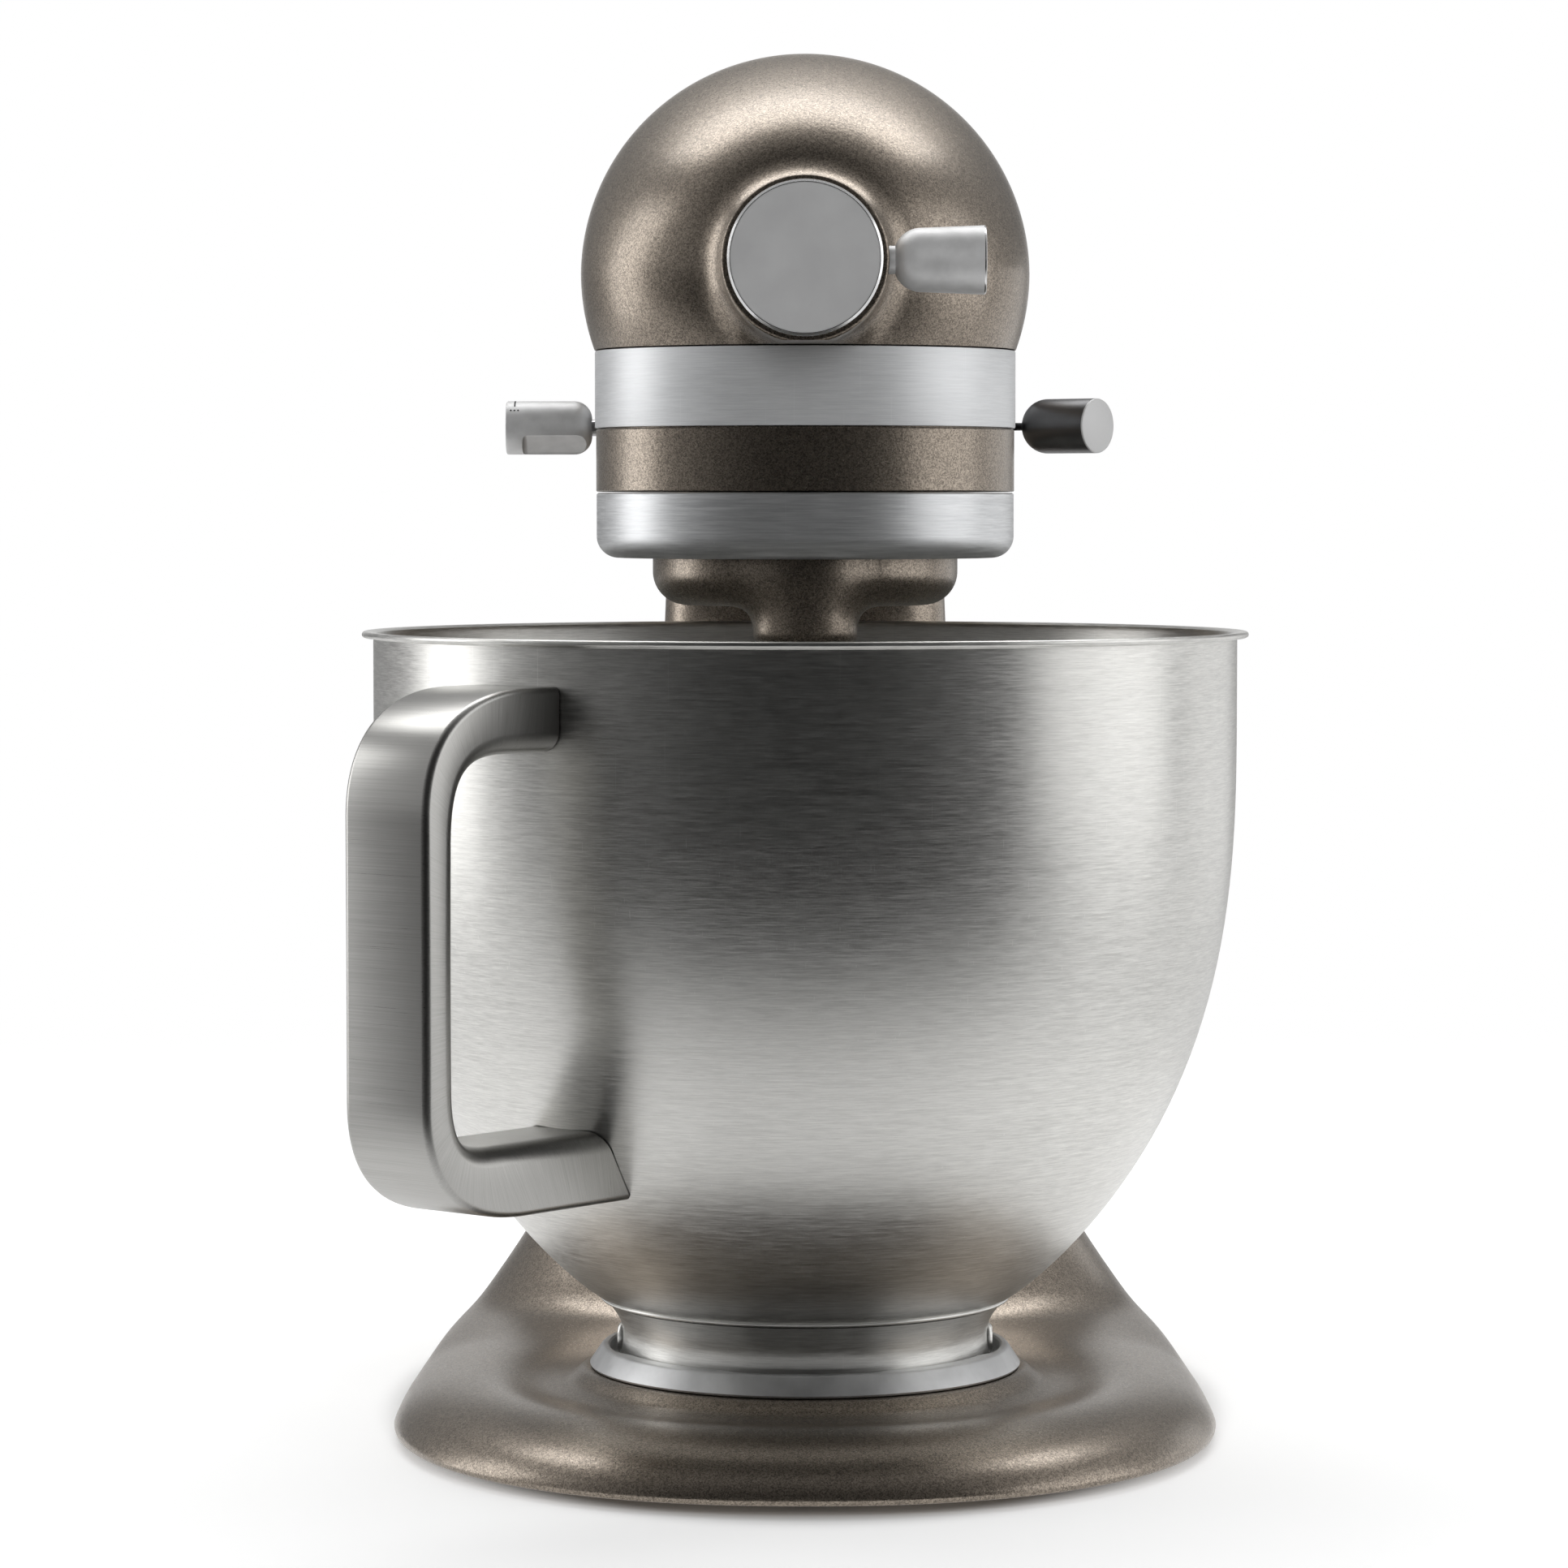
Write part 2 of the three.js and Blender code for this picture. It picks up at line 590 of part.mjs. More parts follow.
/** One level of the lower housing: behind the drip ring its bottom edge is rounded and rises. */
function lowerLevel(z, tuck) {
  const rise = REAR_RISE * (BAND_BOTTOM_Z - z) / LOWER_H;
  const half = bandHalf(GAP).map(([x, y]) => {
    const behind = smoothstep(y, EDGE_START_Y, EDGE_FULL_Y);
    const rear = smoothstep(y, REAR_SEAM_Y, HEAD_REAR_Y - HEAD_WALL);
    return [x * (1 - behind * tuck / RING_R), y - tuck * rear, z + rise * rear];
  });
  return mirrored(half);
}

function hingeLug() {
  const rounded = arc(HINGE_Y, HINGE_Z, HINGE_LUG_R, 180, 180 + HINGE_LUG_WRAP, 10);
  const topZ = LOWER_Z + LOWER_FLOOR_T / 2;
  const outline = [...rounded, [rounded.at(-1)[0], topZ], [HINGE_Y - HINGE_LUG_R, topZ]];
  return sidePrism(outline, -HINGE_LUG_HALF_W, HINGE_LUG_HALF_W);
}

/** Prism of a [y, z] outline between two X positions. */
function sidePrism(outline, x0, x1) {
  const shape = new THREE.Shape(outline.map(([y, z]) => new THREE.Vector2(y, z)));
  const geometry = new THREE.ExtrudeGeometry(shape, { depth: x1 - x0, bevelEnabled: false });
  geometry.rotateX(Math.PI / 2).rotateZ(Math.PI / 2);
  return solid(geometry.translate(x0, 0, 0));
}

function lowerHousing() {
  const levels = [];
  for (const angle of [0, 35, 90]) {
    const z = LOWER_Z + LOWER_EDGE_R * (1 - Math.cos(radians(angle)));
    levels.push(lowerLevel(z, LOWER_EDGE_R * (1 - Math.sin(radians(angle)))));
  }
  levels.push(lowerLevel(BAND_BOTTOM_Z - GAP, 0));
  const neckInset = BAND_T + GAP;
  const floorZ = LOWER_Z + LOWER_FLOOR_T;
  const postTopZ = LEVER_Z + LEVER_HUB_R;
  const under = LOWER_Z - OVERCUT;
  const rearDeck = block(
    [-HEAD_R, REAR_DECK_Y, under],
    [HEAD_R, HEAD_REAR_Y, BAND_BOTTOM_Z - LOWER_EDGE_R / 4],
  );
  const cavity = bandPrism(neckInset + LOWER_WALL, floorZ, BAND_TOP_Z + OVERCUT, 7)
    .subtract(rearDeck);
  const glandHole = post(0, GLAND_Y, GLAND_R + GAP, under, BAND_TOP_Z);
  const pinHole = barX(
    HINGE_Y, HINGE_Z, HINGE_PIN_R + RUN, -HINGE_LUG_HALF_W - 1, HINGE_LUG_HALF_W + 1,
  );
  let body = loft(levels)
    .add(bandPrism(neckInset, BAND_BOTTOM_Z - LOWER_WALL, BAND_TOP_Z))
    .subtract(cavity)
    .subtract(leverSlots())
    .add(hingeLug())
    .add(post(...SPEED_PIVOT, LEVER_POST_R, floorZ - 1, postTopZ, 16))
    .add(post(...LOCK_PIVOT, LEVER_POST_R, floorZ - 1, postTopZ, 16))
    .subtract(post(0, 0, CENTRE_SHAFT_R + RUN, under, floorZ + 1))
    .subtract(post(0, LOCK_PIN_Y, LOCK_PIN_R + RUN, under, floorZ + 1))
    .subtract(glandHole)
    .subtract(pinHole);
  for (const side of [-1, 1]) {
    for (let i = 0; i < VENT_COUNT; i += 1) {
      const x = side * (GLAND_R + 2 * VENT_W + i * VENT_PITCH) - VENT_W / 2;
      const vent = block([x, VENT_Y, under - REAR_RISE], [x + VENT_W, VENT_Y + VENT_L, BAND_TOP_Z]);
      body = body.subtract(vent);
    }
  }
  return body;
}

// ---- Drip ring, planetary and beater drive ------------------------------------------------------

function dripRing() {
  const top = LOWER_Z - GAP;
  return revolve([
    [RING_HOLE_R, RING_Z],
    ...arc(RING_R - RING_ROUND, RING_Z + RING_ROUND, RING_ROUND, -90, 0, 3),
    [RING_R, top],
    [RING_R - RING_WALL, top],
    [RING_R - RING_WALL, RING_Z + RING_ROUND],
    [RING_R - RING_ROUND, RING_Z + RING_FLOOR_T],
    [RING_HOLE_R, RING_Z + RING_FLOOR_T],
  ], 32);
}

/**
 * Gear outline with straight-flanked teeth; the first tooth points to -Y.
 * An internal gear swaps its tip and root circles.
 */
function gearOutline(teeth, internal = false) {
  const pitchR = teeth * GEAR_MODULE / 2;
  const side = internal ? -1 : 1;
  const tip = { r: pitchR + side * GEAR_MODULE, half: TOOTH_TIP * GEAR_MODULE };
  const rootR = pitchR - side * TOOTH_ROOT * GEAR_MODULE;
  const foot = { r: rootR, half: TOOTH_FOOT * GEAR_MODULE };
  const outline = [];
  for (let i = 0; i < teeth; i += 1) {
    const centre = -Math.PI / 2 + 2 * Math.PI * (i + (internal ? 0.5 : 0)) / teeth;
    for (const [{ r, half }, hand] of [[foot, -1], [tip, -1], [tip, 1], [foot, 1]]) {
      const angle = centre + hand * half / r;
      outline.push(new THREE.Vector2(r * Math.cos(angle), r * Math.sin(angle)));
    }
  }
  return outline;
}

function ringGear() {
  const outerR = RING_TEETH * GEAR_MODULE / 2 + RING_GEAR_WALL;
  const shape = new THREE.Shape().absarc(0, 0, outerR, 0, 2 * Math.PI);
  shape.holes.push(new THREE.Path(gearOutline(RING_TEETH, true)));
  return prism(shape, PINION_Z, LOWER_Z - GAP);
}

function beaterPinion() {
  const bore = new THREE.Path().absarc(0, 0, BEATER_SHAFT_R + GAP, 0, 2 * Math.PI);
  const shape = new THREE.Shape(gearOutline(PINION_TEETH));
  shape.holes.push(bore);
  return prism(shape, PINION_Z, LOWER_Z - 2 * GAP).translate([0, -BEATER_OFFSET, 0]);
}

/** Upright body of revolution about the beater's axis. */
function revolveBeater(profile, segments = 20) {
  return revolve(profile, segments).translate([0, -BEATER_OFFSET, 0]);
}

function planetaryCarrier() {
  const hub = revolve([
    [0, CARRIER_Z],
    ...arc(CARRIER_R - CARRIER_ROUND, CARRIER_Z + CARRIER_ROUND, CARRIER_ROUND, -90, 0, 4),
    [CARRIER_R, CARRIER_TOP_Z - CARRIER_EDGE],
    [CARRIER_R - CARRIER_EDGE, CARRIER_TOP_Z],
    [0, CARRIER_TOP_Z],
  ], 28);
  const edge = BEATER_BOSS_EDGE;
  const boss = revolveBeater([
    [0, BEATER_BOSS_Z],
    ...arc(BEATER_BOSS_R - edge, BEATER_BOSS_Z + edge, edge, -90, 0, 3),
    [BEATER_BOSS_R, CARRIER_TOP_Z],
    [0, CARRIER_TOP_Z],
  ]);
  const flare = BEATER_BOSS_FLARE;
  const collar = revolveBeater([
    [0, CARRIER_Z - flare],
    ...arc(BEATER_BOSS_R + flare, CARRIER_Z - flare, flare, 180, 90, 4),
    [BEATER_BOSS_R + flare, CARRIER_Z + 1],
    [0, CARRIER_Z + 1],
  ]);
  const underside = post(0, 0, CARRIER_R - flare, CARRIER_Z - flare, CARRIER_Z + 1, 28);
  const centreHoleZ = CARRIER_Z + CARRIER_ROUND / 2;
  return hub.add(boss).add(collar.intersect(underside))
    .subtract(post(0, -BEATER_OFFSET, BEATER_SHAFT_R + RUN, BEATER_BOSS_Z - 1, PINION_Z, 20))
    .subtract(post(0, 0, CENTRE_SHAFT_R + GAP, centreHoleZ, PINION_Z, 20));
}

function beaterShaft() {
  const topZ = LOWER_Z - 2 * GAP;
  const drill = BEATER_SHAFT_R + 1;
  return revolveBeater([
    [0, BEATER_SHAFT_Z],
    [BEATER_SHAFT_R - BEATER_TIP, BEATER_SHAFT_Z],
    [BEATER_SHAFT_R, BEATER_SHAFT_Z + BEATER_TIP],
    [BEATER_SHAFT_R, topZ],
    [0, topZ],
  ]).subtract(barX(-BEATER_OFFSET, CROSS_PIN_Z, CROSS_PIN_R + GAP, -drill, drill, 16));
}

function beaterCrossPin() {
  const reach = BEATER_SHAFT_R + CROSS_PIN_REACH;
  return barX(-BEATER_OFFSET, CROSS_PIN_Z, CROSS_PIN_R, -reach, reach, 16);
}

/** Bevel gear of a pair that meets at right angles; its cone points up to the hub axis. */
function bevelGear(teeth, width) {
  const pitchR = teeth * GEAR_MODULE / 2;
  const shape = new THREE.Shape(gearOutline(teeth));
  const geometry = new THREE.ExtrudeGeometry(shape, { depth: width, bevelEnabled: false });
  const position = geometry.attributes.position;
  const shrink = (pitchR - width) / pitchR;
  for (let i = 0; i < position.count; i += 1) {
    if (position.getZ(i) > width / 2) {
      position.setXY(i, position.getX(i) * shrink, position.getY(i) * shrink);
    }
  }
  return solid(geometry.translate(0, 0, -pitchR));
}

function centreShaft() {
  const gear = bevelGear(BEVEL_TEETH, BEVEL_WIDTH).translate([0, 0, HEAD_AXIS_Z]);
  const gearZ = HEAD_AXIS_Z - BEVEL_PITCH_R;
  const bottomZ = CARRIER_Z + CARRIER_ROUND / 2 + GAP;
  return post(0, 0, CENTRE_SHAFT_R, bottomZ, gearZ + 1)
    .add(post(0, 0, BEVEL_PITCH_R - BEVEL_NECK, gearZ - BEVEL_WIDTH, gearZ + 1))
    .add(gear);
}

function hubDrive() {
  const bevel = bevelGear(BEVEL_TEETH, BEVEL_WIDTH)
    .rotate([0, 0, 180 / BEVEL_TEETH])
    .rotate([-90, 0, 0])
    .translate([0, 0, HEAD_AXIS_Z]);
  const flangeEndY = HUB_BORE_END_Y - 2;
  const half = HUB_SQUARE / 2;
  return barY(0, HEAD_AXIS_Z, HUB_BORE_R - RUN, HUB_SOCKET_Y, flangeEndY, 32)
    .add(barY(0, HEAD_AXIS_Z, BEVEL_PITCH_R - BEVEL_NECK, flangeEndY - 1, 1 - BEVEL_PITCH_R))
    .add(bevel)
    .subtract(block(
      [-half, HUB_SOCKET_Y - 1, HEAD_AXIS_Z - half],
      [half, flangeEndY - LOWER_WALL, HEAD_AXIS_Z + half],
    ));
}

// ---- Hub cover and thumb-screw ------------------------------------------------------------------

function hubCover() {
  const plugR = HUB_BORE_R - RUN;
  const frontY = BOSS_END_Y - COVER_T;
  const plugEnd = BOSS_END_Y + COVER_PLUG_L;
  const hollowR = plugR - COVER_PLUG_WALL;
  const hollowY = BOSS_END_Y + 1;
  return revolveHead([
    [0, frontY], [COVER_R - COVER_EDGE, frontY], [COVER_R, frontY + COVER_EDGE],
    [COVER_R, BOSS_END_Y], [plugR, BOSS_END_Y], [plugR, plugEnd], [hollowR, plugEnd],
    [hollowR, hollowY], [0, hollowY],
  ], 28);
}

/** Bullet-shaped grip along X: rounded where it meets a neck, flat where it ends. */
function grip(r, length, neckR, flare = 0) {
  const round = GRIP_ROUND * r;
  const middle = r - flare - round;
  const start = -THREE.MathUtils.radToDeg(Math.acos(Math.max(neckR - middle, 0) / round));
  return [
    ...arc(middle, round, round, start, 0, 4),
    [r, length - GRIP_EDGE],
    [r - GRIP_EDGE, length],
    [0, length],
  ];
}

function thumbScrew() {
  const gripX = BOSS_R + THUMB_NECK_L;
  const shape = grip(THUMB_R, THUMB_L, THUMB_SCREW_R, THUMB_FLARE);
  const profile = [[0, HUB_BORE_R], [THUMB_SCREW_R, HUB_BORE_R]];
  profile.push(...shape.map(([r, x]) => [r, x + gripX]));
  return revolveX(profile).translate([0, THUMB_Y, HEAD_AXIS_Z]);
}

// ---- Levers -------------------------------------------------------------------------------------

/** Turns a lever drawn along +X about its pivot's upright axis. */
function placeLever(body, [x, y], degrees) {
  return body.rotate([0, 0, degrees]).translate([x, y, 0]);
}

/** Grip of a lever, drilled for its rod. */
function leverGrip(reach, rodR) {
  const start = reach - KNOB_L;
  return revolveX([[0, 0], ...grip(KNOB_R, KNOB_L, 0)])
    .subtract(barX(0, 0, rodR + GAP, -1, ROD_SEAT_L + GAP, 16))
    .translate([start, 0, LEVER_Z]);
}

function leverHub() {
  const half = LEVER_HUB_H / 2;
  return post(0, 0, LEVER_HUB_R, LEVER_Z - half, LEVER_Z + half)
    .subtract(post(0, 0, LEVER_POST_R + RUN, LEVER_Z - LEVER_HUB_H, LEVER_Z + LEVER_HUB_H));
}

function speedLever() {
  const start = SPEED_REACH - KNOB_L;
  const half = SPEED_PLATE_W / 2;
  const plateEnd = start - SPEED_PLATE_W / 2;
  const plate = block([LEVER_HUB_R - 1, -half, LEVER_Z - SPEED_PLATE_T / 2],
    [plateEnd, half, LEVER_Z + SPEED_PLATE_T / 2]);
  const tang = barX(0, LEVER_Z, SPEED_PLATE_T / 2, plateEnd - 1, start + ROD_SEAT_L, 12);
  return placeLever(leverHub().add(plate).add(tang), SPEED_PIVOT, SPEED_REST);
}

function lockLever() {
  const start = LOCK_REACH - KNOB_L;
  const rod = barX(0, LEVER_Z, LOCK_ROD_R, LEVER_HUB_R - 1, start + ROD_SEAT_L, 16);
  const pinX = -LOCK_PIVOT[0];
  const pinY = LOCK_PIN_Y - LOCK_PIVOT[1];
  const armL = Math.hypot(pinX, pinY);
  const armAngle = THREE.MathUtils.radToDeg(Math.atan2(pinY, pinX)) + LOCK_SWEEP - 180;
  const half = LOCK_ARM_W / 2;
  const topZ = LOCK_ARM_Z + LOCK_ARM_T;
  const arm = block([0, -half, LOCK_ARM_Z - GAP], [armL, half, topZ])
    .rotate([0, 0, armAngle])
    .subtract(post(0, 0, LEVER_POST_R + RUN, LEVER_Z, topZ + 1));
  return placeLever(leverHub().add(rod).add(arm), LOCK_PIVOT, 180);
}

/** Bolt that drops from the head into the pedestal; it is drawn withdrawn. */
function lockPin() {
  const top = LOCK_ARM_Z - 2 * GAP;
  return post(0, LOCK_PIN_Y, LOCK_PIN_R, LOWER_Z + 2 * GAP, top)
    .add(post(0, LOCK_PIN_Y, LOCK_PIN_HEAD_R, top - LOCK_PIN_HEAD_T, top));
}

// ---- Small fittings -----------------------------------------------------------------------------

function brushCap(side) {
  const x = headRadius(BRUSH_Y) + BRUSH_CAP_PROUD;
  const edge = BRUSH_CAP_EDGE;
  const slot = block(
    [x - COIN_SLOT_DEPTH, BRUSH_Y - COIN_SLOT_L / 2, HEAD_AXIS_Z - COIN_SLOT_W / 2],
    [x + 1, BRUSH_Y + COIN_SLOT_L / 2, HEAD_AXIS_Z + COIN_SLOT_W / 2],
  );
  const cap = revolveX([
    [0, x - BRUSH_CAP_H], [BRUSH_CAP_R, x - BRUSH_CAP_H],
    [BRUSH_CAP_R, x - edge], [BRUSH_CAP_R - edge, x], [0, x],
  ]).translate([0, BRUSH_Y, HEAD_AXIS_Z]).subtract(slot);
  return side > 0 ? cap : cap.mirror([1, 0, 0]);
}

/** Empty strain-relief bush for the mains lead, in the rear floor of the head. */
function cordGland() {
  const bottom = LOWER_Z - GLAND_DROP;
  const topZ = LOWER_Z + LOWER_EDGE_R;
  return post(0, GLAND_Y, GLAND_R, bottom, topZ)
    .add(post(0, GLAND_Y, GLAND_R + GLAND_FLANGE, bottom, LOWER_Z - GAP))
    .subtract(post(0, GLAND_Y, GLAND_BORE_R, bottom - 1, topZ + 1));
}

// ---- Pedestal -----------------------------------------------------------------------------------

/** How far the pedestal's foot stands proud of its top section at a height. */
function flareAt(z) {
  return FLARE * Math.exp(-z / FLARE_DECAY);
}

/** Right half, front to rear, of the pedestal's section: a rounded box that grows by flare. */
function columnHalf(flare, z) {
  const r = COLUMN_CORNER_R + flare;
  const rear = r / COLUMN_REAR_SQUEEZE;
  const x = COLUMN_HALF_W - COLUMN_CORNER_R;
  const frontY = COLUMN_FRONT_Y + COLUMN_CORNER_R;
  const rearY = COLUMN_REAR_Y - COLUMN_CORNER_R / COLUMN_REAR_SQUEEZE;
  const front = arc(x, frontY, r, -90, 0, 5);
  const back = arc(0, 0, 1, 0, 90, 5).map(([u, v]) => [x + r * u, rearY + rear * v]);
  const half = [[0, frontY - r], ...front, ...back, [0, rearY + rear]];
  return half.map(([px, py]) => [px, py, z]);
}

/** Stack of the pedestal's sections between two heights, drawn in by a wall. */
function columnLoft(wall, z0, z1, steps) {
  const levels = [];
  for (let i = 0; i <= steps; i += 1) {
    const z = lerp(z0, z1, (i / steps) ** 1.5);
    levels.push(mirrored(columnHalf(flareAt(z) - wall, z)));
  }
  return loft(levels);
}

function pedestalColumn() {
  const topZ = LOWER_Z - TILT_AIR;
  const bottomZ = BASE_SEAM_Z + GAP;
  const roundR = topZ - HINGE_Z;
  const slope = radians(TILT_MAX);
  const halfW = COLUMN_HALF_W + FLARE;
  const frontY = COLUMN_FRONT_Y - FLARE;
  const crown = sidePrism([
    [frontY, bottomZ - 1],
    [frontY, topZ],
    ...arc(HINGE_Y, HINGE_Z, roundR, 90, 90 - TILT_MAX, 5),
    [
      HINGE_Y + roundR * Math.sin(slope) + FLARE * Math.cos(slope),
      HINGE_Z + roundR * Math.cos(slope) - FLARE * Math.sin(slope),
    ],
    [COLUMN_REAR_Y + FLARE, bottomZ - 1],
  ], -halfW, halfW);
  const lugAir = HINGE_LUG_R + HINGE_LUG_AIR;
  const slotW = HINGE_LUG_HALF_W + RUN;
  const slotRearY = COLUMN_REAR_Y + HINGE_LUG_R;
  const sillZ = HINGE_Z + HINGE_LUG_AIR;
  const slot = sidePrism([
    [HINGE_Y - lugAir, HINGE_Z - lugAir],
    [HINGE_Y - lugAir, topZ + 1],
    [slotRearY, topZ + 1],
    [slotRearY, sillZ],
    [HINGE_Y + lugAir, sillZ],
    [HINGE_Y + lugAir, HINGE_Z - lugAir],
  ], -slotW, slotW);
  const boltR = LOCK_PIN_R + 2 * GAP;
  const boltHole = post(0, LOCK_PIN_Y, boltR, topZ - LOCK_PIN_TRAVEL - LOCK_PIN_R, topZ + 1);
  const hollowTop = HINGE_Z - lugAir - COLUMN_ROOF_T;
  return columnLoft(0, bottomZ, topZ + 1, 6)
    .intersect(crown)
    .subtract(columnLoft(COLUMN_WALL, bottomZ - 1, hollowTop, 3))
    .subtract(slot)
    .subtract(boltHole)
    .subtract(barX(HINGE_Y, HINGE_Z, HINGE_PIN_R + GAP, -halfW, halfW));
}

function hingePin() {
  const reach = COLUMN_HALF_W + flareAt(HINGE_Z) - 1;
  return barX(HINGE_Y, HINGE_Z, HINGE_PIN_R, -reach, reach);
}

// ---- Base casting -------------------------------------------------------------------------------

/** 1 on the base's outline, 0 at its middle. */
function basePlan(x, y) {
  const along = y < BASE_WIDEST_Y
    ? ((BASE_WIDEST_Y - y) / BASE_FRONT_L) ** BASE_FRONT_POWER
    : ((y - BASE_WIDEST_Y) / BASE_REAR_L) ** BASE_REAR_POWER;
  return (Math.abs(x / BASE_HALF_W) ** BASE_FRONT_POWER + along) ** (1 / BASE_FRONT_POWER);
}

/** Half-width of the base's outline at a distance y. */
function baseWidth(y) {
  const share = Math.max(1 - basePlan(0, y) ** BASE_FRONT_POWER, 0);
  return BASE_HALF_W * share ** (1 / BASE_FRONT_POWER);
}

/** Distance outside the pedestal's top section, measured as its flare is. */
function columnDistance(x, y) {
  const frontY = COLUMN_FRONT_Y + COLUMN_CORNER_R;
  const rearY = COLUMN_REAR_Y - COLUMN_CORNER_R / COLUMN_REAR_SQUEEZE;
  const dx = Math.max(Math.abs(x) - (COLUMN_HALF_W - COLUMN_CORNER_R), 0);
  const dy = Math.max(frontY - y, 0) + COLUMN_REAR_SQUEEZE * Math.max(y - rearY, 0);
  return Math.max(Math.hypot(dx, dy) - COLUMN_CORNER_R, 0.01);
}

/**
 * Height of the base's upper surface, or of a wall's inner side: a dished pad that sweeps up
 * into the pedestal and is cut off at a ceiling.
 */
function baseHeight(x, y, wall, ceiling) {
  const fromDip = (Math.hypot(x, y) - BASE_DIP_R) / BASE_DIP_W;
  const pad = BASE_PAD_Z - BASE_DIP * Math.exp(-(fromDip ** 2)) - wall;
  const sideways = COLUMN_REAR_SQUEEZE * wall;
  const rise = FLARE_DECAY * Math.log(FLARE / (columnDistance(x, y) + sideways));
  const sweep = Math.min(rise, ceiling);
  const blend = (pad + sweep + Math.hypot(pad - sweep, BASE_BLEND)) / 2;
  const roll = Math.sqrt(Math.max(1 - basePlan(x, y) ** BASE_ROLL_POWER, 0));
  return BASE_EDGE_Z + (blend - BASE_EDGE_Z) * roll;
}

/** Skin of the base drawn in by a wall: upright sections from the front to the rear. */
function baseSkin(wall, ceiling, sections, points) {
  const frontY = BASE_FRONT_Y + wall + GAP / 3;
  const rearY = BASE_REAR_Y - wall - GAP / 3;
  const rings = [];
  for (let k = 0; k <= sections; k += 1) {
    const y = lerp(frontY, rearY, (1 - Math.cos(Math.PI * k / sections)) / 2);
    const width = baseWidth(y) * (1 - wall / BASE_HALF_W);
    const half = [];
    for (let j = 0; j <= points; j += 1) {
      const x = width * Math.sin(Math.PI / 2 * j / points);
      half.push([x, y, baseHeight(x, y, wall, ceiling)]);
    }
    const lipZ = BASE_Z - wall;
    const tuck = width / BASE_HALF_W;
    half.push([width - 2 * RUN * tuck, y, lipZ + 3 * GAP], [width - BASE_Z * tuck / 2, y, lipZ]);
    half.push([0, y, lipZ]);
    rings.push(mirrored(half));
  }
  return loft(rings);
}

/** Ribs, bosses and a ring that stiffen the casting and hold its feet, below a skin. */
function baseFrame() {
  const bottomZ = BASE_Z + 1;
  const ringR = SEAT_R - BASE_RIB_T;
  let frame = post(0, 0, ringR, bottomZ, SEAT_Z, 20)
    .subtract(post(0, 0, ringR - BASE_RIB_T, bottomZ - 1, SEAT_Z + 1, 20));
  for (const angle of [0, 90, 180, 270]) {
    const half = BASE_RIB_T / 2;
    const rib = block([ringR - 1, -half, bottomZ], [BASE_RIB_END, half, BASE_SEAM_Z]);
    frame = frame.add(rib.rotate([0, 0, angle]));
  }
  for (const [x, y] of Object.values(FEET)) {
    frame = frame.add(post(x, y, FOOT_PAD_R + 1, bottomZ, BASE_SEAM_Z, 12));
  }
  return frame.intersect(baseSkin(BASE_WALL / 2, BASE_SEAM_Z - BASE_WALL / 2, 12, 4));
}

function baseCasting() {
  const skin = baseSkin(0, BASE_SEAM_Z + BASE_EDGE_Z * 2, 20, 6);
  const hollow = baseSkin(BASE_WALL, BASE_SEAM_Z - BASE_WALL, 12, 4);
  const belowSeam = block(
    [-BASE_REAR_L, -BASE_REAR_L, BASE_Z - 1],
    [BASE_REAR_L, BASE_REAR_L + OVERCUT * 2, BASE_SEAM_Z],
  );
  let body = skin.subtract(hollow)
    .add(baseFrame())
    .add(post(0, 0, SEAT_R, BASE_Z + OVERCUT, SEAT_Z, 28))
    .intersect(belowSeam)
    .subtract(post(0, 0, PLATE_R + GAP, PLATE_Z, PLATE_Z + PLATE_H + OVERCUT));
  for (const [x, y] of Object.values(FEET)) {
    body = body.subtract(post(x, y, FOOT_STEM_R + GAP, 0, FOOT_STEM_Z + GAP, 12));
  }
  return body;
}

function foot(x, y) {
  const top = BASE_Z + 1 - GAP;
  return revolve([
    [0, 0], [FOOT_PAD_R - 3 * RUN, 0], [FOOT_PAD_R - RUN, top], [FOOT_STEM_R, top],
    [FOOT_STEM_R, FOOT_STEM_Z], [0, FOOT_STEM_Z],
  ], 10).translate([x, y, 0]);
}

// ---- Clamp plate --------------------------------------------------------------------------------

/** Sector of a ring about the bowl axis, centred on an angle from +X. */
function sector(r0, r1, centre, half, z0, z1) {
  const steps = Math.ceil(half / 6);
  const outline = [
    ...arc(0, 0, r1, centre - half, centre + half, steps),
    ...arc(0, 0, r0, centre + half, centre - half, steps),
  ];
  return prism(outline, z0, z1);
}

function clampPlate() {
  const top = PLATE_Z + PLATE_H;
  const floorZ = PLATE_Z + PLATE_FLOOR_T;
  let body = revolve([
    [0, PLATE_Z], [PLATE_R, PLATE_Z], [PLATE_TOP_R + 0.3, top - 0.3], [PLATE_TOP_R - 0.2, top],
    [PLATE_WELL_R, top], [PLATE_WELL_R, floorZ], [0, floorZ],
  ], 32);
  for (let i = 0; i < LUG_COUNT; i += 1) {
    const centre = 360 * (i + 0.5) / LUG_COUNT;
    body = body.add(sector(
      PLATE_WELL_R - TAB_DEPTH, PLATE_WELL_R + 0.5, centre, TAB_HALF_ANGLE, top - TAB_T, top - 0.1,
    ));
  }
  return body;
}

// ---- Bowl ---------------------------------------------------------------------------------------

/** Outer radius of the bowl above its foot. */
function bowlRadius(z) {
  const u = Math.min((z - FOOT_SEAM_Z) / (BOWL_CURVE_TOP_Z - FOOT_SEAM_Z), 1);
  const share = (1 - (1 - u) ** BOWL_RISE_POWER) ** (1 / BOWL_BELLY_POWER);
  return lerp(FOOT_SEAM_R, BOWL_R, share);
}

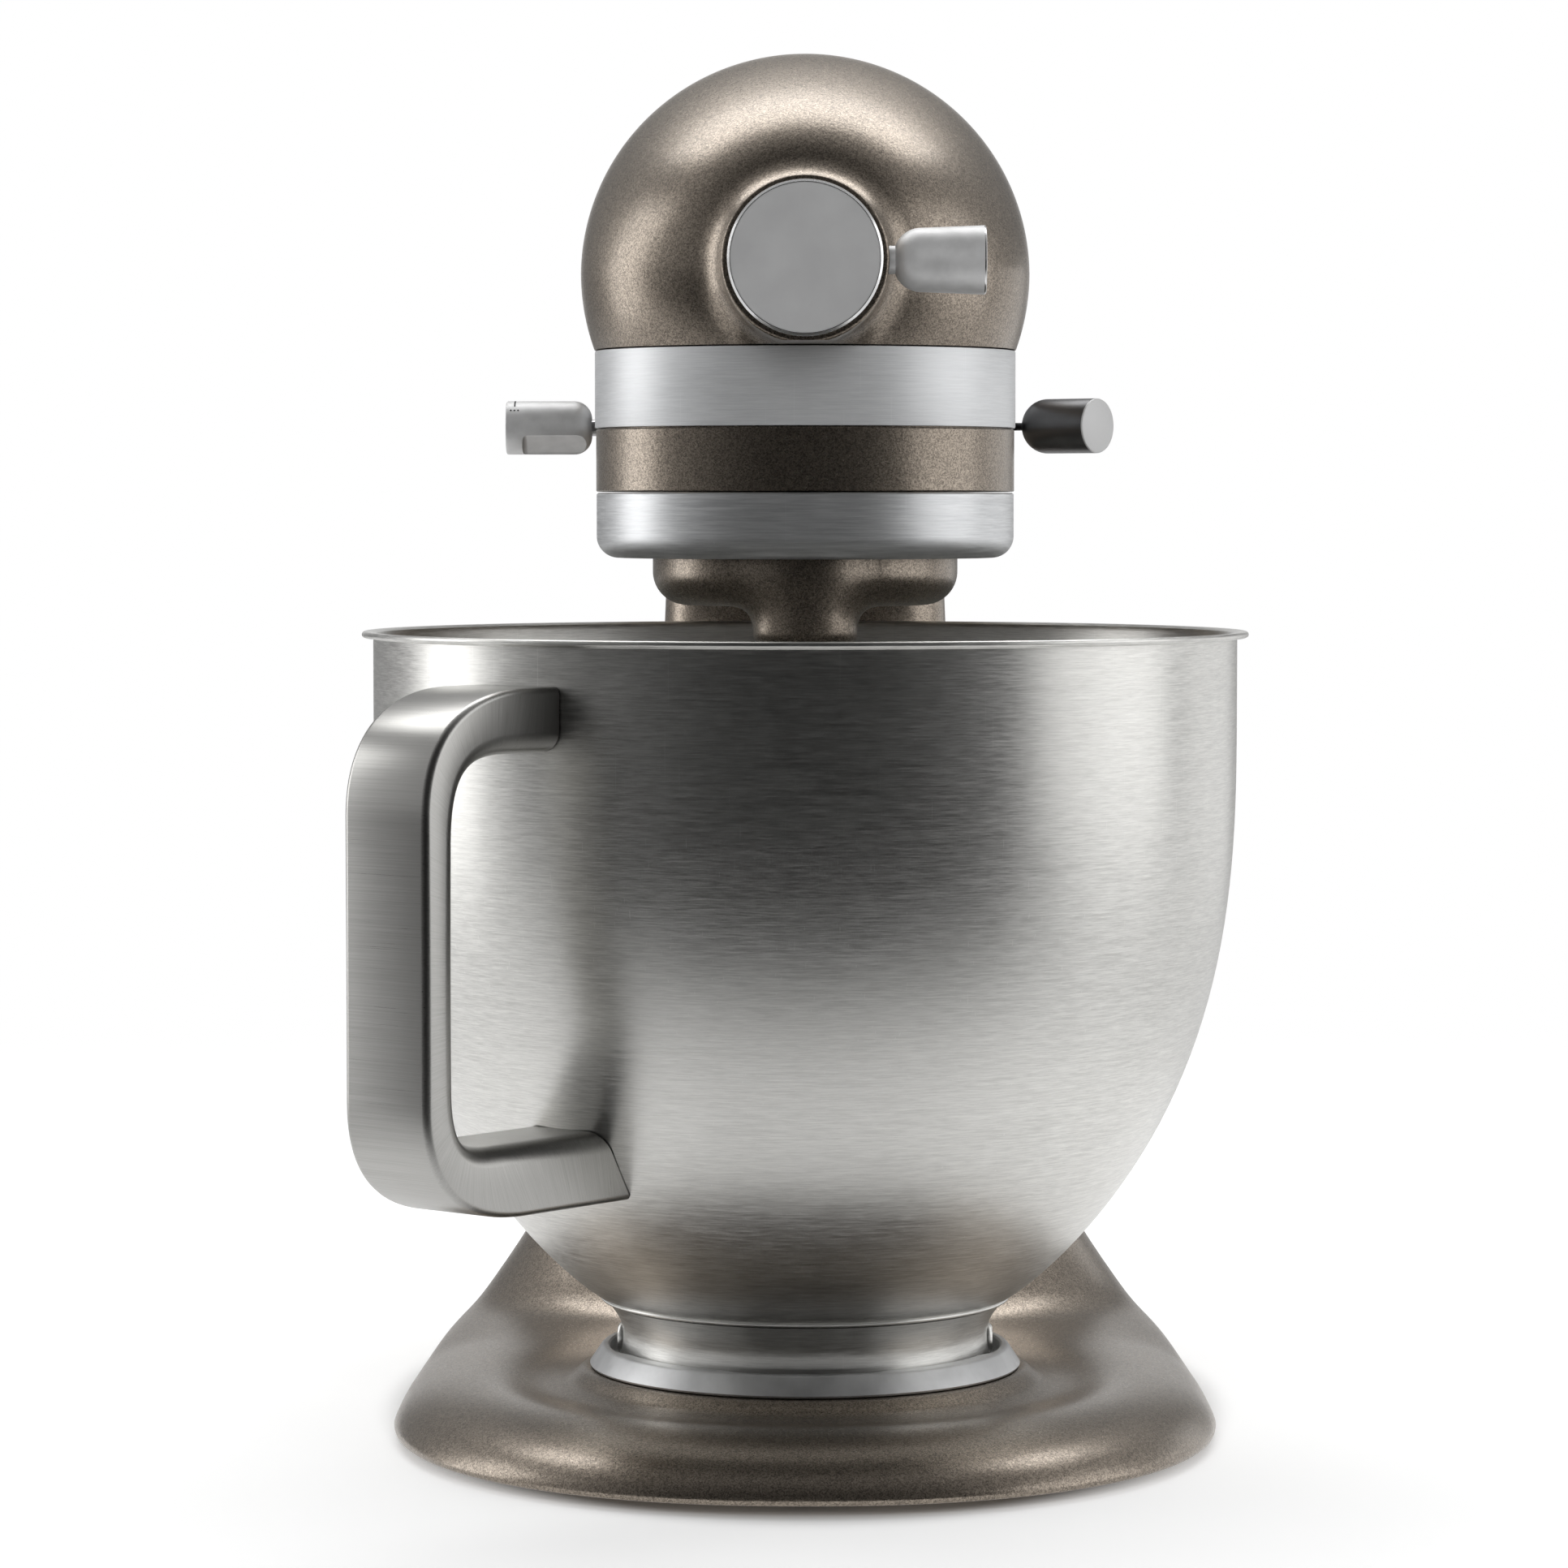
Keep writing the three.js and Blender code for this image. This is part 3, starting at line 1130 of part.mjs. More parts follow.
/** Outer profile from the middle of the bottom to below the rim. */
function bowlProfile(wallSteps) {
  const rise = FOOT_SEAM_Z - BOWL_BOTTOM_Z;
  const profile = [];
  for (const share of [0, 0.6]) {
    profile.push([share * FOOT_SEAM_R, BOWL_BOTTOM_Z + rise * share ** FLOOR_DOME_POWER]);
  }
  for (let i = 0; i <= wallSteps; i += 1) {
    const z = lerp(FOOT_SEAM_Z, BOWL_CURVE_TOP_Z, (i / wallSteps) ** 1.35);
    profile.push([bowlRadius(z), z]);
  }
  return profile;
}

/** Open profile moved sideways by a distance toward the axis. */
function drawnIn(profile, distance) {
  return profile.map(([r, z], i) => {
    const [r0, z0] = profile[Math.max(i - 1, 0)];
    const [r1, z1] = profile[Math.min(i + 1, profile.length - 1)];
    const length = Math.hypot(r1 - r0, z1 - z0);
    const inR = r - distance * (z1 - z0) / length;
    return [i === 0 ? 0 : inR, z + distance * (r1 - r0) / length];
  });
}

function bowlShell() {
  const lipZ = RIM_Z - RIM_H / 2;
  return revolve([
    ...bowlProfile(6),
    [BOWL_R, RIM_Z - RIM_H],
    [BOWL_R + RIM_LIP / 3, lipZ - GAP],
    [RIM_R - GAP, lipZ],
    [RIM_R, lipZ + RIM_H / 4],
    [RIM_R - 2 * GAP, RIM_Z],
    [BOWL_R - 2 * GAP, RIM_Z],
    [BOWL_R - BOWL_T, lipZ],
    ...drawnIn(bowlProfile(6), BOWL_T).reverse(),
  ], 32);
}

function bowlFoot() {
  const topZ = FOOT_SEAM_Z - 3 * GAP;
  const topR = FOOT_SEAM_R - 2 * GAP;
  const waist = (z) => {
    const above = (z - FOOT_WAIST_Z) / (topZ - FOOT_WAIST_Z);
    return FOOT_WAIST_R + (topR - FOOT_WAIST_R) * Math.max(above, 0) ** 2;
  };
  const heights = [FOOT_Z + 1, FOOT_WAIST_Z, lerp(FOOT_WAIST_Z, topZ, 0.5), topZ];
  const outer = heights.map((z) => [waist(z), z]);
  const inner = outer.slice(1).reverse().map(([r, z]) => [r - FOOT_T, z - GAP]);
  const flangeR = FOOT_WAIST_R - FOOT_FLANGE;
  let body = revolve([
    [flangeR, FOOT_Z],
    [FOOT_WAIST_R - GAP, FOOT_Z],
    ...outer,
    ...inner,
    [FOOT_WAIST_R - FOOT_T, FOOT_Z + FOOT_T],
    [flangeR, FOOT_Z + FOOT_T],
  ], 24);
  const lugTopZ = PLATE_Z + PLATE_H - TAB_T - GAP;
  for (let i = 0; i < LUG_COUNT; i += 1) {
    const lug = sector(
      FOOT_WAIST_R - 1, PLATE_WELL_R - 2 * GAP, 360 * i / LUG_COUNT, LUG_HALF_ANGLE,
      FOOT_Z + GAP, lugTopZ,
    );
    body = body.add(lug);
  }
  return body;
}

/** Side outline of the handle, between its arms' roots inside the bowl, drawn in by an inset. */
function handleOutline(shape, [rootR, reach, bottomZ, topZ], corner) {
  const tight = corner * 0.6;
  shape.moveTo(rootR, bottomZ);
  shape.lineTo(reach - corner, bottomZ);
  shape.bezierCurveTo(
    reach - corner / 3, bottomZ, reach, bottomZ + tight / 3, reach, bottomZ + corner * 0.8,
  );
  shape.lineTo(reach, topZ - corner * 0.85);
  shape.bezierCurveTo(reach, topZ - tight / 3, reach - corner / 3, topZ, reach - corner, topZ);
  shape.lineTo(rootR, topZ);
  return shape;
}

function bowlHandle() {
  const edge = HANDLE_EDGE_R;
  const rootR = BOWL_R - HANDLE_CORNER;
  const outline = [
    rootR, HANDLE_REACH - edge, HANDLE_BOTTOM_Z + edge, HANDLE_TOP_Z - edge,
  ];
  const window = [
    rootR + 1, HANDLE_REACH - HANDLE_T + edge,
    HANDLE_BOTTOM_Z + HANDLE_BOTTOM_ARM_T - edge, HANDLE_TOP_Z - HANDLE_TOP_ARM_T + edge,
  ];
  const shape = handleOutline(new THREE.Shape(), outline, HANDLE_CORNER);
  shape.holes.push(handleOutline(new THREE.Path(), window, HANDLE_INNER_CORNER));
  const geometry = new THREE.ExtrudeGeometry(shape, {
    depth: HANDLE_W - 2 * edge,
    bevelThickness: edge,
    bevelSize: edge,
    bevelSegments: 2,
    curveSegments: 6,
  });
  geometry.translate(0, 0, edge - HANDLE_W / 2).rotateX(Math.PI / 2);
  const strap = solid(geometry).rotate([0, 0, -90 - HANDLE_AZIMUTH]);
  const wall = [...drawnIn(bowlProfile(6), -GAP), [BOWL_R + GAP, RIM_Z], [0, RIM_Z]];
  return strap.subtract(revolve(wall, 32));
}

// ---- Assembly -----------------------------------------------------------------------------------

piece('base_casting', baseCasting(), 'paint');
for (const [name, [x, y]] of Object.entries(FEET)) piece(name, foot(x, y), 'rubber');
piece('clamp_plate', clampPlate(), 'castAluminium');
piece('pedestal_column', pedestalColumn(), 'paint');
piece('hinge_pin', hingePin(), 'steel');

piece('lower_housing', lowerHousing(), 'paint');
piece('trim_band', trimBand(), 'aluminium');
piece('upper_housing', upperHousing(), 'paint');
piece('rear_cover', rearCover(), 'paint');
piece('drip_ring', dripRing(), 'aluminium');
piece('ring_gear', ringGear(), 'steel');
piece('brush_cap_left', brushCap(-1), 'blackPlastic');
piece('brush_cap_right', brushCap(1), 'blackPlastic');
piece('cord_gland', cordGland(), 'blackPlastic');

piece('planetary_carrier', planetaryCarrier(), 'paint');
piece('centre_shaft', centreShaft(), 'steel');
piece('beater_shaft', beaterShaft(), 'steel');
piece('beater_pinion', beaterPinion(), 'steel');
piece('beater_cross_pin', beaterCrossPin(), 'steel');

piece('hub_drive', hubDrive(), 'steel');
piece('hub_cover', hubCover(), 'greyDisc');
piece('thumb_screw', thumbScrew(), 'castAluminium');

piece('speed_lever', speedLever(), 'darkSteel');
piece('speed_knob', placeLever(leverGrip(SPEED_REACH, SPEED_PLATE_T / 2), SPEED_PIVOT, SPEED_REST),
  'castAluminium');
piece('lock_lever', lockLever(), 'steel');
piece('lock_knob', placeLever(leverGrip(LOCK_REACH, LOCK_ROD_R), LOCK_PIVOT, 180), 'castAluminium');
piece('lock_pin', lockPin(), 'steel');

piece('bowl_shell', bowlShell(), 'stainless');
piece('bowl_foot', bowlFoot(), 'stainless');
piece('bowl_handle', bowlHandle(), 'stainless');

// The origin lies on the floor under the middle of the whole machine.
const box = new THREE.Box3().setFromObject(root);
root.position.set(0, -(box.min.y + box.max.y) / 2, 0);

const group = new THREE.Group();
group.add(root);
export default group;
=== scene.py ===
import math
import bpy
import bmesh
from mathutils import Matrix, Vector


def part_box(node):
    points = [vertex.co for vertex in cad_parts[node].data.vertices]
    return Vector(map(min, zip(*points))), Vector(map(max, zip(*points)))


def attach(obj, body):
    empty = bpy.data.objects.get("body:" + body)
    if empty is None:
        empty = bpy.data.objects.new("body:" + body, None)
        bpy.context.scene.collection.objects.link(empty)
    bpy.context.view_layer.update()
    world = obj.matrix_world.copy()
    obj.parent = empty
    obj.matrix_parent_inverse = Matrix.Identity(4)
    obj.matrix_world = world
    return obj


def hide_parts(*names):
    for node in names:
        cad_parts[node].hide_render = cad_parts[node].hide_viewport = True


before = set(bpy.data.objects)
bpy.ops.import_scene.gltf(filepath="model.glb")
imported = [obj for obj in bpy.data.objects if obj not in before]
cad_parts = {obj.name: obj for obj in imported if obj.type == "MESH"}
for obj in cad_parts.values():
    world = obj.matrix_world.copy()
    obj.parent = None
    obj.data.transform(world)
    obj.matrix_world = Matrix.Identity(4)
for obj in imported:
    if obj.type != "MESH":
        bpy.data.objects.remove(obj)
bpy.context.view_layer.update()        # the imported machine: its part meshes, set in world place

# ---- Studio ----
# A pale floor under a white room. Tall soft boxes stand at both sides, with a low one behind on
# the right; a wide one hangs overhead and a weak fill, kept out of reflections, stands in front.
# The room in front of the machine is left dim, and the floor ahead shows black in reflections as
# painted shade, so the metal keeps its depth.

scene = bpy.context.scene
scene.view_settings.view_transform = "Standard"

lens_mm = 120.64
camera_at = (0, -1.3997, 0.23942)
camera_down = 3.04                # degrees
camera_aside = 0.23
aim = Vector((0, 0, 0.2))
room_levels = (
    (0, 0.26), (0.15, 0.26), (0.38, 0.55), (0.62, 0.50), (0.78, 0.36), (0.89, 0.20), (1, 0.012))
lamps = (                         # name, place, width, height, power
    ("soft_box_left", (-1.22, 0.24, 0.45), 0.56, 1.0, 3.9),
    ("soft_box_right", (1.23, -0.20, 0.45), 1.10, 1.0, 3.9),
    ("soft_box_low", (0.90, 0.75, 0.22), 0.80, 0.42, 0.7),
    ("soft_box_above", (0, 0.60, 1.5), 2.2, 0.6, 14.5),
    ("front_fill", (0, -2.2, 1.0), 1.5, 1.5, 27),
)
floor_half = 30
floor_lift = 0.36                 # how much paler the open floor is than its paint; near the base it is withheld, leaving a painted shadow


def add(tree, kind, inputs=None, **settings):
    """Adds a shader node; an input is given a value, a socket, or a node's first output."""
    made = tree.nodes.new("ShaderNode" + kind)
    for key, value in settings.items():
        setattr(made, key, value)
    for key, value in (inputs or {}).items():
        if isinstance(value, bpy.types.Node):
            value = value.outputs[0]
        if isinstance(value, bpy.types.NodeSocket):
            tree.links.new(value, made.inputs[key])
        else:
            made.inputs[key].default_value = value
    return made


def maths(tree, operation, *values):
    """Adds a math node on up to three values or nodes."""
    return add(tree, "Math", dict(enumerate(values)), operation=operation)


def spread(tree, value, low, high, start=0.0, end=1.0, shape="LINEAR"):
    """Adds a node that maps the range low to high onto start to end."""
    return add(tree, "MapRange", {
        "Value": value, "From Min": low, "From Max": high, "To Min": start, "To Max": end,
    }, interpolation_type=shape)


def ramp(tree, value, *stops, blend="LINEAR"):
    """Adds a colour ramp with a colour at each position."""
    made = add(tree, "ValToRGB", {"Fac": value})
    made.color_ramp.interpolation = blend
    marks = made.color_ramp.elements
    for mark, (position, colour) in zip((marks[0], marks[1]), (stops[0], stops[-1])):
        mark.position = position
        mark.color = (*colour, 1)
    for position, colour in stops[1:-1]:
        marks.new(position).color = (*colour, 1)
    return made


def shine(tree, strength):
    """Adds a white emission."""
    return add(tree, "Emission", {"Color": (1, 1, 1, 1), "Strength": strength})


def either(tree, share, first, second):
    """Adds a mix of two shaders."""
    return add(tree, "MixShader", {0: share, 1: first, 2: second})


camera_data = bpy.data.cameras.new("camera")
camera_data.sensor_width = 36
camera_data.lens = lens_mm
camera = bpy.data.objects.new("camera", camera_data)
camera.location = camera_at
camera.rotation_euler = (math.radians(90 - camera_down), 0, math.radians(camera_aside))
scene.collection.objects.link(camera)
scene.camera = camera

room = bpy.data.worlds.new("room")
room.use_nodes = True
scene.world = room
tree = room.node_tree
tree.nodes.clear()
across = add(tree, "SeparateXYZ", {"Vector": add(tree, "TexCoord").outputs["Generated"]})
overhead = maths(tree, "MAXIMUM", across.outputs["Z"], 0.0)
behind = maths(tree, "MULTIPLY_ADD", overhead, -0.6, across.outputs["Y"])
toward_front = spread(tree, behind, 1.0, -1.0)
room_stops = ((at, (level,) * 3) for at, level in room_levels)
dimming = ramp(tree, toward_front, *room_stops, blend="B_SPLINE")
backdrop = spread(tree, across.outputs["Y"], 0.93, 1.0, shape="SMOOTHSTEP")
seen = add(tree, "LightPath").outputs
mirrored = maths(tree, "MAXIMUM", seen["Is Glossy Ray"], seen["Is Transmission Ray"])
mirrored = maths(tree, "MULTIPLY", mirrored, backdrop)
shows_white = maths(tree, "MAXIMUM", seen["Is Camera Ray"], mirrored)
lit = add(tree, "Background", {"Color": dimming, "Strength": 0.9})
white = add(tree, "Background", {"Color": (1, 1, 1, 1), "Strength": 1.0})
add(tree, "OutputWorld", {"Surface": either(tree, shows_white, lit, white)})

for name, place, width, height, power in lamps:
    lamp = bpy.data.lights.new(name, "AREA")
    lamp.shape = "RECTANGLE"
    lamp.size = width
    lamp.size_y = height
    lamp.energy = power
    holder = bpy.data.objects.new(name, lamp)
    holder.location = place
    holder.rotation_euler = (aim - Vector(place)).to_track_quat("-Z", "Y").to_euler()
    holder.visible_glossy = name != "front_fill"
    scene.collection.objects.link(holder)

floor_mesh = bpy.data.meshes.new("floor")
bm = bmesh.new()
bmesh.ops.create_grid(bm, x_segments=1, y_segments=1, size=floor_half)
bm.to_mesh(floor_mesh)
bm.free()
floor = bpy.data.objects.new("floor", floor_mesh)
scene.collection.objects.link(floor)
pale = bpy.data.materials.new("pale_floor")
pale.use_nodes = True
tree = pale.node_tree
tree.nodes.clear()
place = add(tree, "TexCoord").outputs["Object"]
reach = add(tree, "VectorMath", {0: place}, operation="LENGTH").outputs["Value"]
ahead = add(tree, "SeparateXYZ", {"Vector": place}).outputs["Y"]
seen = add(tree, "LightPath").outputs
matt = add(tree, "BsdfDiffuse", {"Color": (0.82, 0.82, 0.82, 1)})
# The floor's lift is withheld inside an oval round the base's outline, so the floor there stays
# darker than the open floor: a painted shadow under and around the base.
painted_shadow_oval = add(tree, "Mapping", {
    "Vector": place, "Location": (0, 0.002, 0), "Scale": (0.106, 0.170, 1)}, vector_type="TEXTURE")
out_from_base = add(tree, "VectorMath", {0: painted_shadow_oval}, operation="LENGTH").outputs["Value"]
lift_beyond_painted_shadow = spread(tree, out_from_base, 0.97, 1.09, end=floor_lift, shape="SMOOTHSTEP")
lifted = add(tree, "AddShader", {0: matt, 1: shine(tree, lift_beyond_painted_shadow)})
fade = spread(tree, reach, 0.35, 1.1, shape="SMOOTHSTEP")
faded = either(tree, fade, lifted, shine(tree, 1.0))
near = spread(tree, reach, 0.20, 0.45, floor_lift, 0.0, "SMOOTHSTEP")
near_lit = add(tree, "AddShader", {0: matt, 1: shine(tree, near)})
# Seen in reflections only, the floor fades to black ahead of the machine, though lamps light it
# there: painted shade that keeps the metal dark in front. Near the machine it keeps its lift.
dark = spread(tree, ahead, -0.16, -0.58, shape="SMOOTHSTEP")
mirrored = either(tree, dark, near_lit, shine(tree, 0.0))
glossy = maths(tree, "MAXIMUM", seen["Is Glossy Ray"], seen["Is Transmission Ray"])
shown = either(tree, glossy, matt, mirrored)
shown = either(tree, seen["Is Camera Ray"], shown, faded)
add(tree, "OutputMaterial", {"Surface": shown})
floor_mesh.materials.append(pale)

# ---- Base casting ----
# One zinc casting, sand-blasted and sprayed with a bronze metallic enamel: a dished pad under
# the bowl that sweeps up at the back into the foot of the pedestal, hollow and ribbed below.

plate_low, plate_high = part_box("clamp_plate")
bowl_y = (plate_low.y + plate_high.y) / 2

base_half_width = 0.1058
base_widest = 0.008               # behind the bowl's axis
base_front_length = 0.120
base_rear_length = 0.220
base_low = 0.0028
base_edge = 0.0042
pad_height = 0.0168
pad_dip = 0.0022
pad_dip_radius = 0.068
seat_height = 0.0186
seat_radius = 0.0564
casting_wall = 0.0045
deck_height = 0.048               # where the pedestal is bolted on

column_half_width = 0.0367
column_front = 0.122
column_rear = 0.198
column_corner = 0.014
rear_squeeze = 1.8
flare_width = 0.072
flare_fade = 0.0635
sweep_softness = 0.0063


def sheet(columns, rows, place):
    """A grid bent into a skin: place gives each point from its shares across and along."""
    bm = bmesh.new()
    bm.loops.layers.uv.new("shares")
    bmesh.ops.create_grid(bm, x_segments=columns, y_segments=rows, size=0.5, calc_uvs=True)
    for vert in bm.verts:
        vert.co = place(vert.co.x + 0.5, vert.co.y + 0.5)
    bmesh.ops.remove_doubles(bm, verts=bm.verts, dist=1e-6)
    return bm


def fitted(name, bm, finish, body, nodes, crease=0.55):
    """Gives a piece its finish and lets it ride on its body, in place of the plain CAD nodes."""
    bmesh.ops.recalc_face_normals(bm, faces=bm.faces)
    mesh = bpy.data.meshes.new(name)
    bm.to_mesh(mesh)
    bm.free()
    mesh.materials.append(finish)
    mesh.shade_smooth()
    mesh.set_sharp_from_angle(angle=crease)
    piece = bpy.data.objects.new(name, mesh)
    scene.collection.objects.link(piece)
    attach(piece, body)
    if nodes:
        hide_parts(*nodes)
    return piece


def step(value, low, high):
    """Smooth step from 0 to 1."""
    share = min(max((value - low) / (high - low), 0), 1)
    return share * share * (3 - 2 * share)


def farthest(inside, near, far, halvings):
    """The largest value between near and far that is still inside, found by halving."""
    for _ in range(halvings):
        middle = (near + far) / 2
        near, far = (middle, far) if inside(middle) else (near, middle)
    return near


def base_plan(x, y):
    """1 on the base's outline and 0 at its middle."""
    if y < base_widest:
        along = ((base_widest - y) / base_front_length) ** 2.2
    else:
        along = ((y - base_widest) / base_rear_length) ** 2.6
    return (abs(x / base_half_width) ** 2.2 + along) ** (1 / 2.2)


def outline_reach(turn):
    """Distance from the base's middle to its outline in one direction."""
    def inside(reach):
        return base_plan(reach * math.sin(turn), base_widest + reach * math.cos(turn)) < 1

    return farthest(inside, 0.05, 0.30, 40)


def plane_cut(bm, at, normal, clear=True):
    """Cuts a skin along a plane, clears what lies beyond it and returns the cut's open edges."""
    cut = bmesh.ops.bisect_plane(
        bm, geom=bm.verts[:] + bm.edges[:] + bm.faces[:], dist=1e-6,
        plane_co=at, plane_no=normal, clear_outer=clear,
    )
    return [e for e in cut["geom_cut"] if isinstance(e, bmesh.types.BMEdge) and e.is_boundary]


def beyond_column(x, y):
    """Distance outside the pedestal's top section, measured as its flare is."""
    dx = max(abs(x) - (column_half_width - column_corner), 0)
    dy = max(column_front + column_corner - y, 0)
    dy += rear_squeeze * max(y - (column_rear - column_corner / rear_squeeze), 0)
    return max(math.hypot(dx, dy) - column_corner, 1e-5)


def pad_surface(x, y, wall=0.0, ceiling=0.075):
    """Height of the dished pad as it sweeps up into the pedestal, or of a wall's inner side."""
    radius = math.hypot(x, y)
    dip = pad_dip * math.exp(-(((radius - pad_dip_radius) / 0.010) ** 2))
    pad = pad_height - dip - wall
    rise = flare_fade * math.log(flare_width / (beyond_column(x, y) + rear_squeeze * wall))
    sweep = min(rise, ceiling)
    blend = (pad + sweep + math.hypot(pad - sweep, sweep_softness)) / 2
    if wall == 0:
        blend += (seat_height - blend) * (1 - step(radius, seat_radius, seat_radius + 0.004))
    at_rear = step(y, 0.05, 0.15)
    roll = max(1 - base_plan(x, y) ** (11 + 25 * at_rear), 0) ** (0.8 - 0.3 * at_rear)
    return base_edge + (blend - base_edge) * roll


base_reaches = {}


def base_point(across, along):
    """Rings from the seat out to the lip, under it, and back in along the hollow."""
    turn = 2 * math.pi * across
    key = round(across, 6)
    if key not in base_reaches:
        base_reaches[key] = outline_reach(turn)
    reach = base_reaches[key]
    if along <= 0.7:
        share = along / 0.7
        share = min(share * (1.6 - 0.6 * share ** 2.2), 1)
        x, y = share * reach * math.sin(turn), base_widest + share * reach * math.cos(turn)
        return Vector((x, y + bowl_y, pad_surface(x, y)))
    if along <= 0.76:
        share = (along - 0.7) / 0.06
        drawn = reach - 0.0008 * share ** 2
        z = base_edge + (base_low - base_edge) * math.sin(math.pi / 2 * share)
        return Vector((drawn * math.sin(turn), base_widest + drawn * math.cos(turn) + bowl_y, z))
    share = (1 - along) / 0.24
    drawn = (reach - casting_wall) * min(share, 1)
    x, y = drawn * math.sin(turn), base_widest + drawn * math.cos(turn)
    z = pad_surface(x, y, casting_wall, deck_height - casting_wall)
    if share > 0.97:
        z = base_low
    return Vector((x, y + bowl_y, max(z, base_low)))


def noise(tree, place, scale, detail=2.0, roughness=0.5):
    """Adds a noise texture; a scale of three values stretches it."""
    if not isinstance(scale, float):
        place, scale = add(tree, "Mapping", {"Vector": place, "Scale": scale}), 1.0
    return add(tree, "TexNoise", {
        "Vector": place, "Scale": scale, "Detail": detail, "Roughness": roughness})


def finish_of(name, colour, metallic, roughness, dress):
    """A material with plain values on its shader and, over them, what dress adds to its tree."""
    finish = bpy.data.materials.new(name)
    finish.use_nodes = True
    finish.diffuse_color = (*colour, 1)
    tree = finish.node_tree
    shader = tree.nodes["Principled BSDF"].inputs
    shader["Base Color"].default_value = (*colour, 1)
    shader["Metallic"].default_value = metallic
    shader["Roughness"].default_value = roughness
    for key, value in dress(tree).items():
        if isinstance(value, float):
            shader[key].default_value = value
        else:
            tree.links.new(value.outputs[0], shader[key])
    return finish


def enamel_dress(tree):
    """Sprayed enamel: metal flakes that differ in tone and gloss, under a soft orange peel."""
    place = add(tree, "TexCoord").outputs["Object"]
    flakes = add(tree, "TexVoronoi", {"Vector": place, "Scale": 3400.0}).outputs["Color"]
    glint = add(tree, "SeparateColor", {"Color": flakes})
    cloud = noise(tree, place, 55.0, 3.0)
    mixed = maths(tree, "MULTIPLY", glint, 0.85)
    mixed = maths(tree, "MULTIPLY_ADD", cloud, 0.15, mixed)
    speck = noise(tree, place, 2600.0, 1.5)
    peel = add(tree, "Bump", {"Height": noise(tree, place, 650.0), "Distance": 5e-5})
    dull, bright = (0.150, 0.126, 0.103), (0.395, 0.337, 0.276)
    return {
        "Base Color": ramp(tree, mixed, (0.1, dull), (0.95, bright)),
        "Roughness": spread(tree, glint.outputs[1], 0.0, 1.0, 0.27, 0.38),
        "Normal": add(tree, "Bump", {"Height": speck, "Distance": 1.4e-5, "Normal": peel}),
        "Coat Weight": 0.25,
        "Coat Roughness": 0.22,
    }


enamel = finish_of("bronze_enamel", (0.25, 0.214, 0.176), 0.96, 0.36, enamel_dress)

bm = sheet(240, 150, base_point)
plane_cut(bm, (0, 0, deck_height), (0, 0, 1), clear=False)
for vert in bm.verts:
    vert.co.z = min(vert.co.z, deck_height)
fitted("base_skin", bm, enamel, "base", ["base_casting"], crease=0.9)

# ---- Rubber feet ----
# Five moulded rubber pads pressed into posts under the casting, ribbed where they grip.

foot_radius = 0.011


def turned(profile, axis, centre, steps=128, closed=False):
    """A skin turned from (radius, distance) points about an axis through centre."""
    axis = Vector(axis)
    side = Vector((0, 0, 1)) if abs(axis.z) < 0.5 else Vector((1, 0, 0))
    bm = bmesh.new()
    verts = [bm.verts.new(Vector(centre) + side * r + axis * h) for r, h in profile]
    ends = verts[1:] + verts[:1] if closed else verts[1:]
    edges = [bm.edges.new(pair) for pair in zip(verts, ends)]
    bmesh.ops.spin(
        bm, geom=verts + edges, cent=centre, axis=axis, dvec=(0, 0, 0),
        angle=2 * math.pi, steps=steps, use_merge=True, use_duplicate=False,
    )
    bmesh.ops.remove_doubles(bm, verts=bm.verts, dist=1e-6)
    return bm


def arc(cx, cy, r, start, end, steps):
    """Points of an arc, angles in degrees, both ends included."""
    turns = [math.radians(start + (end - start) * i / steps) for i in range(steps + 1)]
    return [(cx + r * math.cos(a), cy + r * math.sin(a)) for a in turns]


def grained(
        name, colour, metallic, roughness, gloss, grain, depth, patch=None, tones=(), patchy=False):
    """A finish of fine grain, in relief by its depth, and of broad patches of two tones.

    Grain and patch are given as (scale, detail). The gloss follows the grain or, if the finish
    is patchy, the patches.
    """
    def dress(tree):
        place = add(tree, "TexCoord").outputs["Object"]
        fine = noise(tree, place, *grain)
        inputs = {}
        if patch:
            broad = noise(tree, place, *patch)
            inputs["Base Color"] = ramp(tree, broad, *tones)
        inputs["Roughness"] = spread(tree, broad if patchy else fine, 0.0, 1.0, *gloss)
        if depth:
            inputs["Normal"] = add(tree, "Bump", {"Height": fine, "Distance": depth})
        return inputs

    return finish_of(name, colour, metallic, roughness, dress)


def grey(level):
    """A colour without hue."""
    return (level, level, level)


def about(x, y, *offsets):
    """Points given by their offsets from one point."""
    return [(x + dx, y + dy) for dx, dy in offsets]


rubber = grained("foot_rubber", grey(0.018), 0.0, 0.85, (0.7, 0.95), (1800.0, 3.0), 5e-5)

for foot in ("foot_front", "foot_left", "foot_right", "foot_rear_left", "foot_rear_right"):
    low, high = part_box(foot)
    profile = [(0, 0.0008), (0.003, 0.0008), (0.0034, 0)]
    profile += [(0.0062, 0), (0.0066, 0.0008), (0.0072, 0.0008), (0.0076, 0)]
    profile += about(foot_radius, 0, (-0.0018, 0), (-0.0009, 0.0006), (-0.0005, 0.0034))
    profile += [(0.004, 0.0035), (0.004, high.z), (0, high.z)]
    bm = turned(profile, (0, 0, 1), ((low.x + high.x) / 2, (low.y + high.y) / 2, 0), 48)
    fitted(foot + "_pad", bm, rubber, "base", [foot])

# ---- Pedestal ----
# The hollow upright casting, bolted to the base from below and sprayed with it. Its top is cut
# back behind the hinge, so that the head can lean until it meets the slope.

hinge_low, hinge_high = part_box("hinge_pin")
hinge_y = (hinge_low.y + hinge_high.y) / 2
hinge_z = (hinge_low.z + hinge_high.z) / 2
column_low, column_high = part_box("pedestal_column")
tilt_most = math.radians(35)
lug_air = 0.016
lug_slot_half = 0.01535


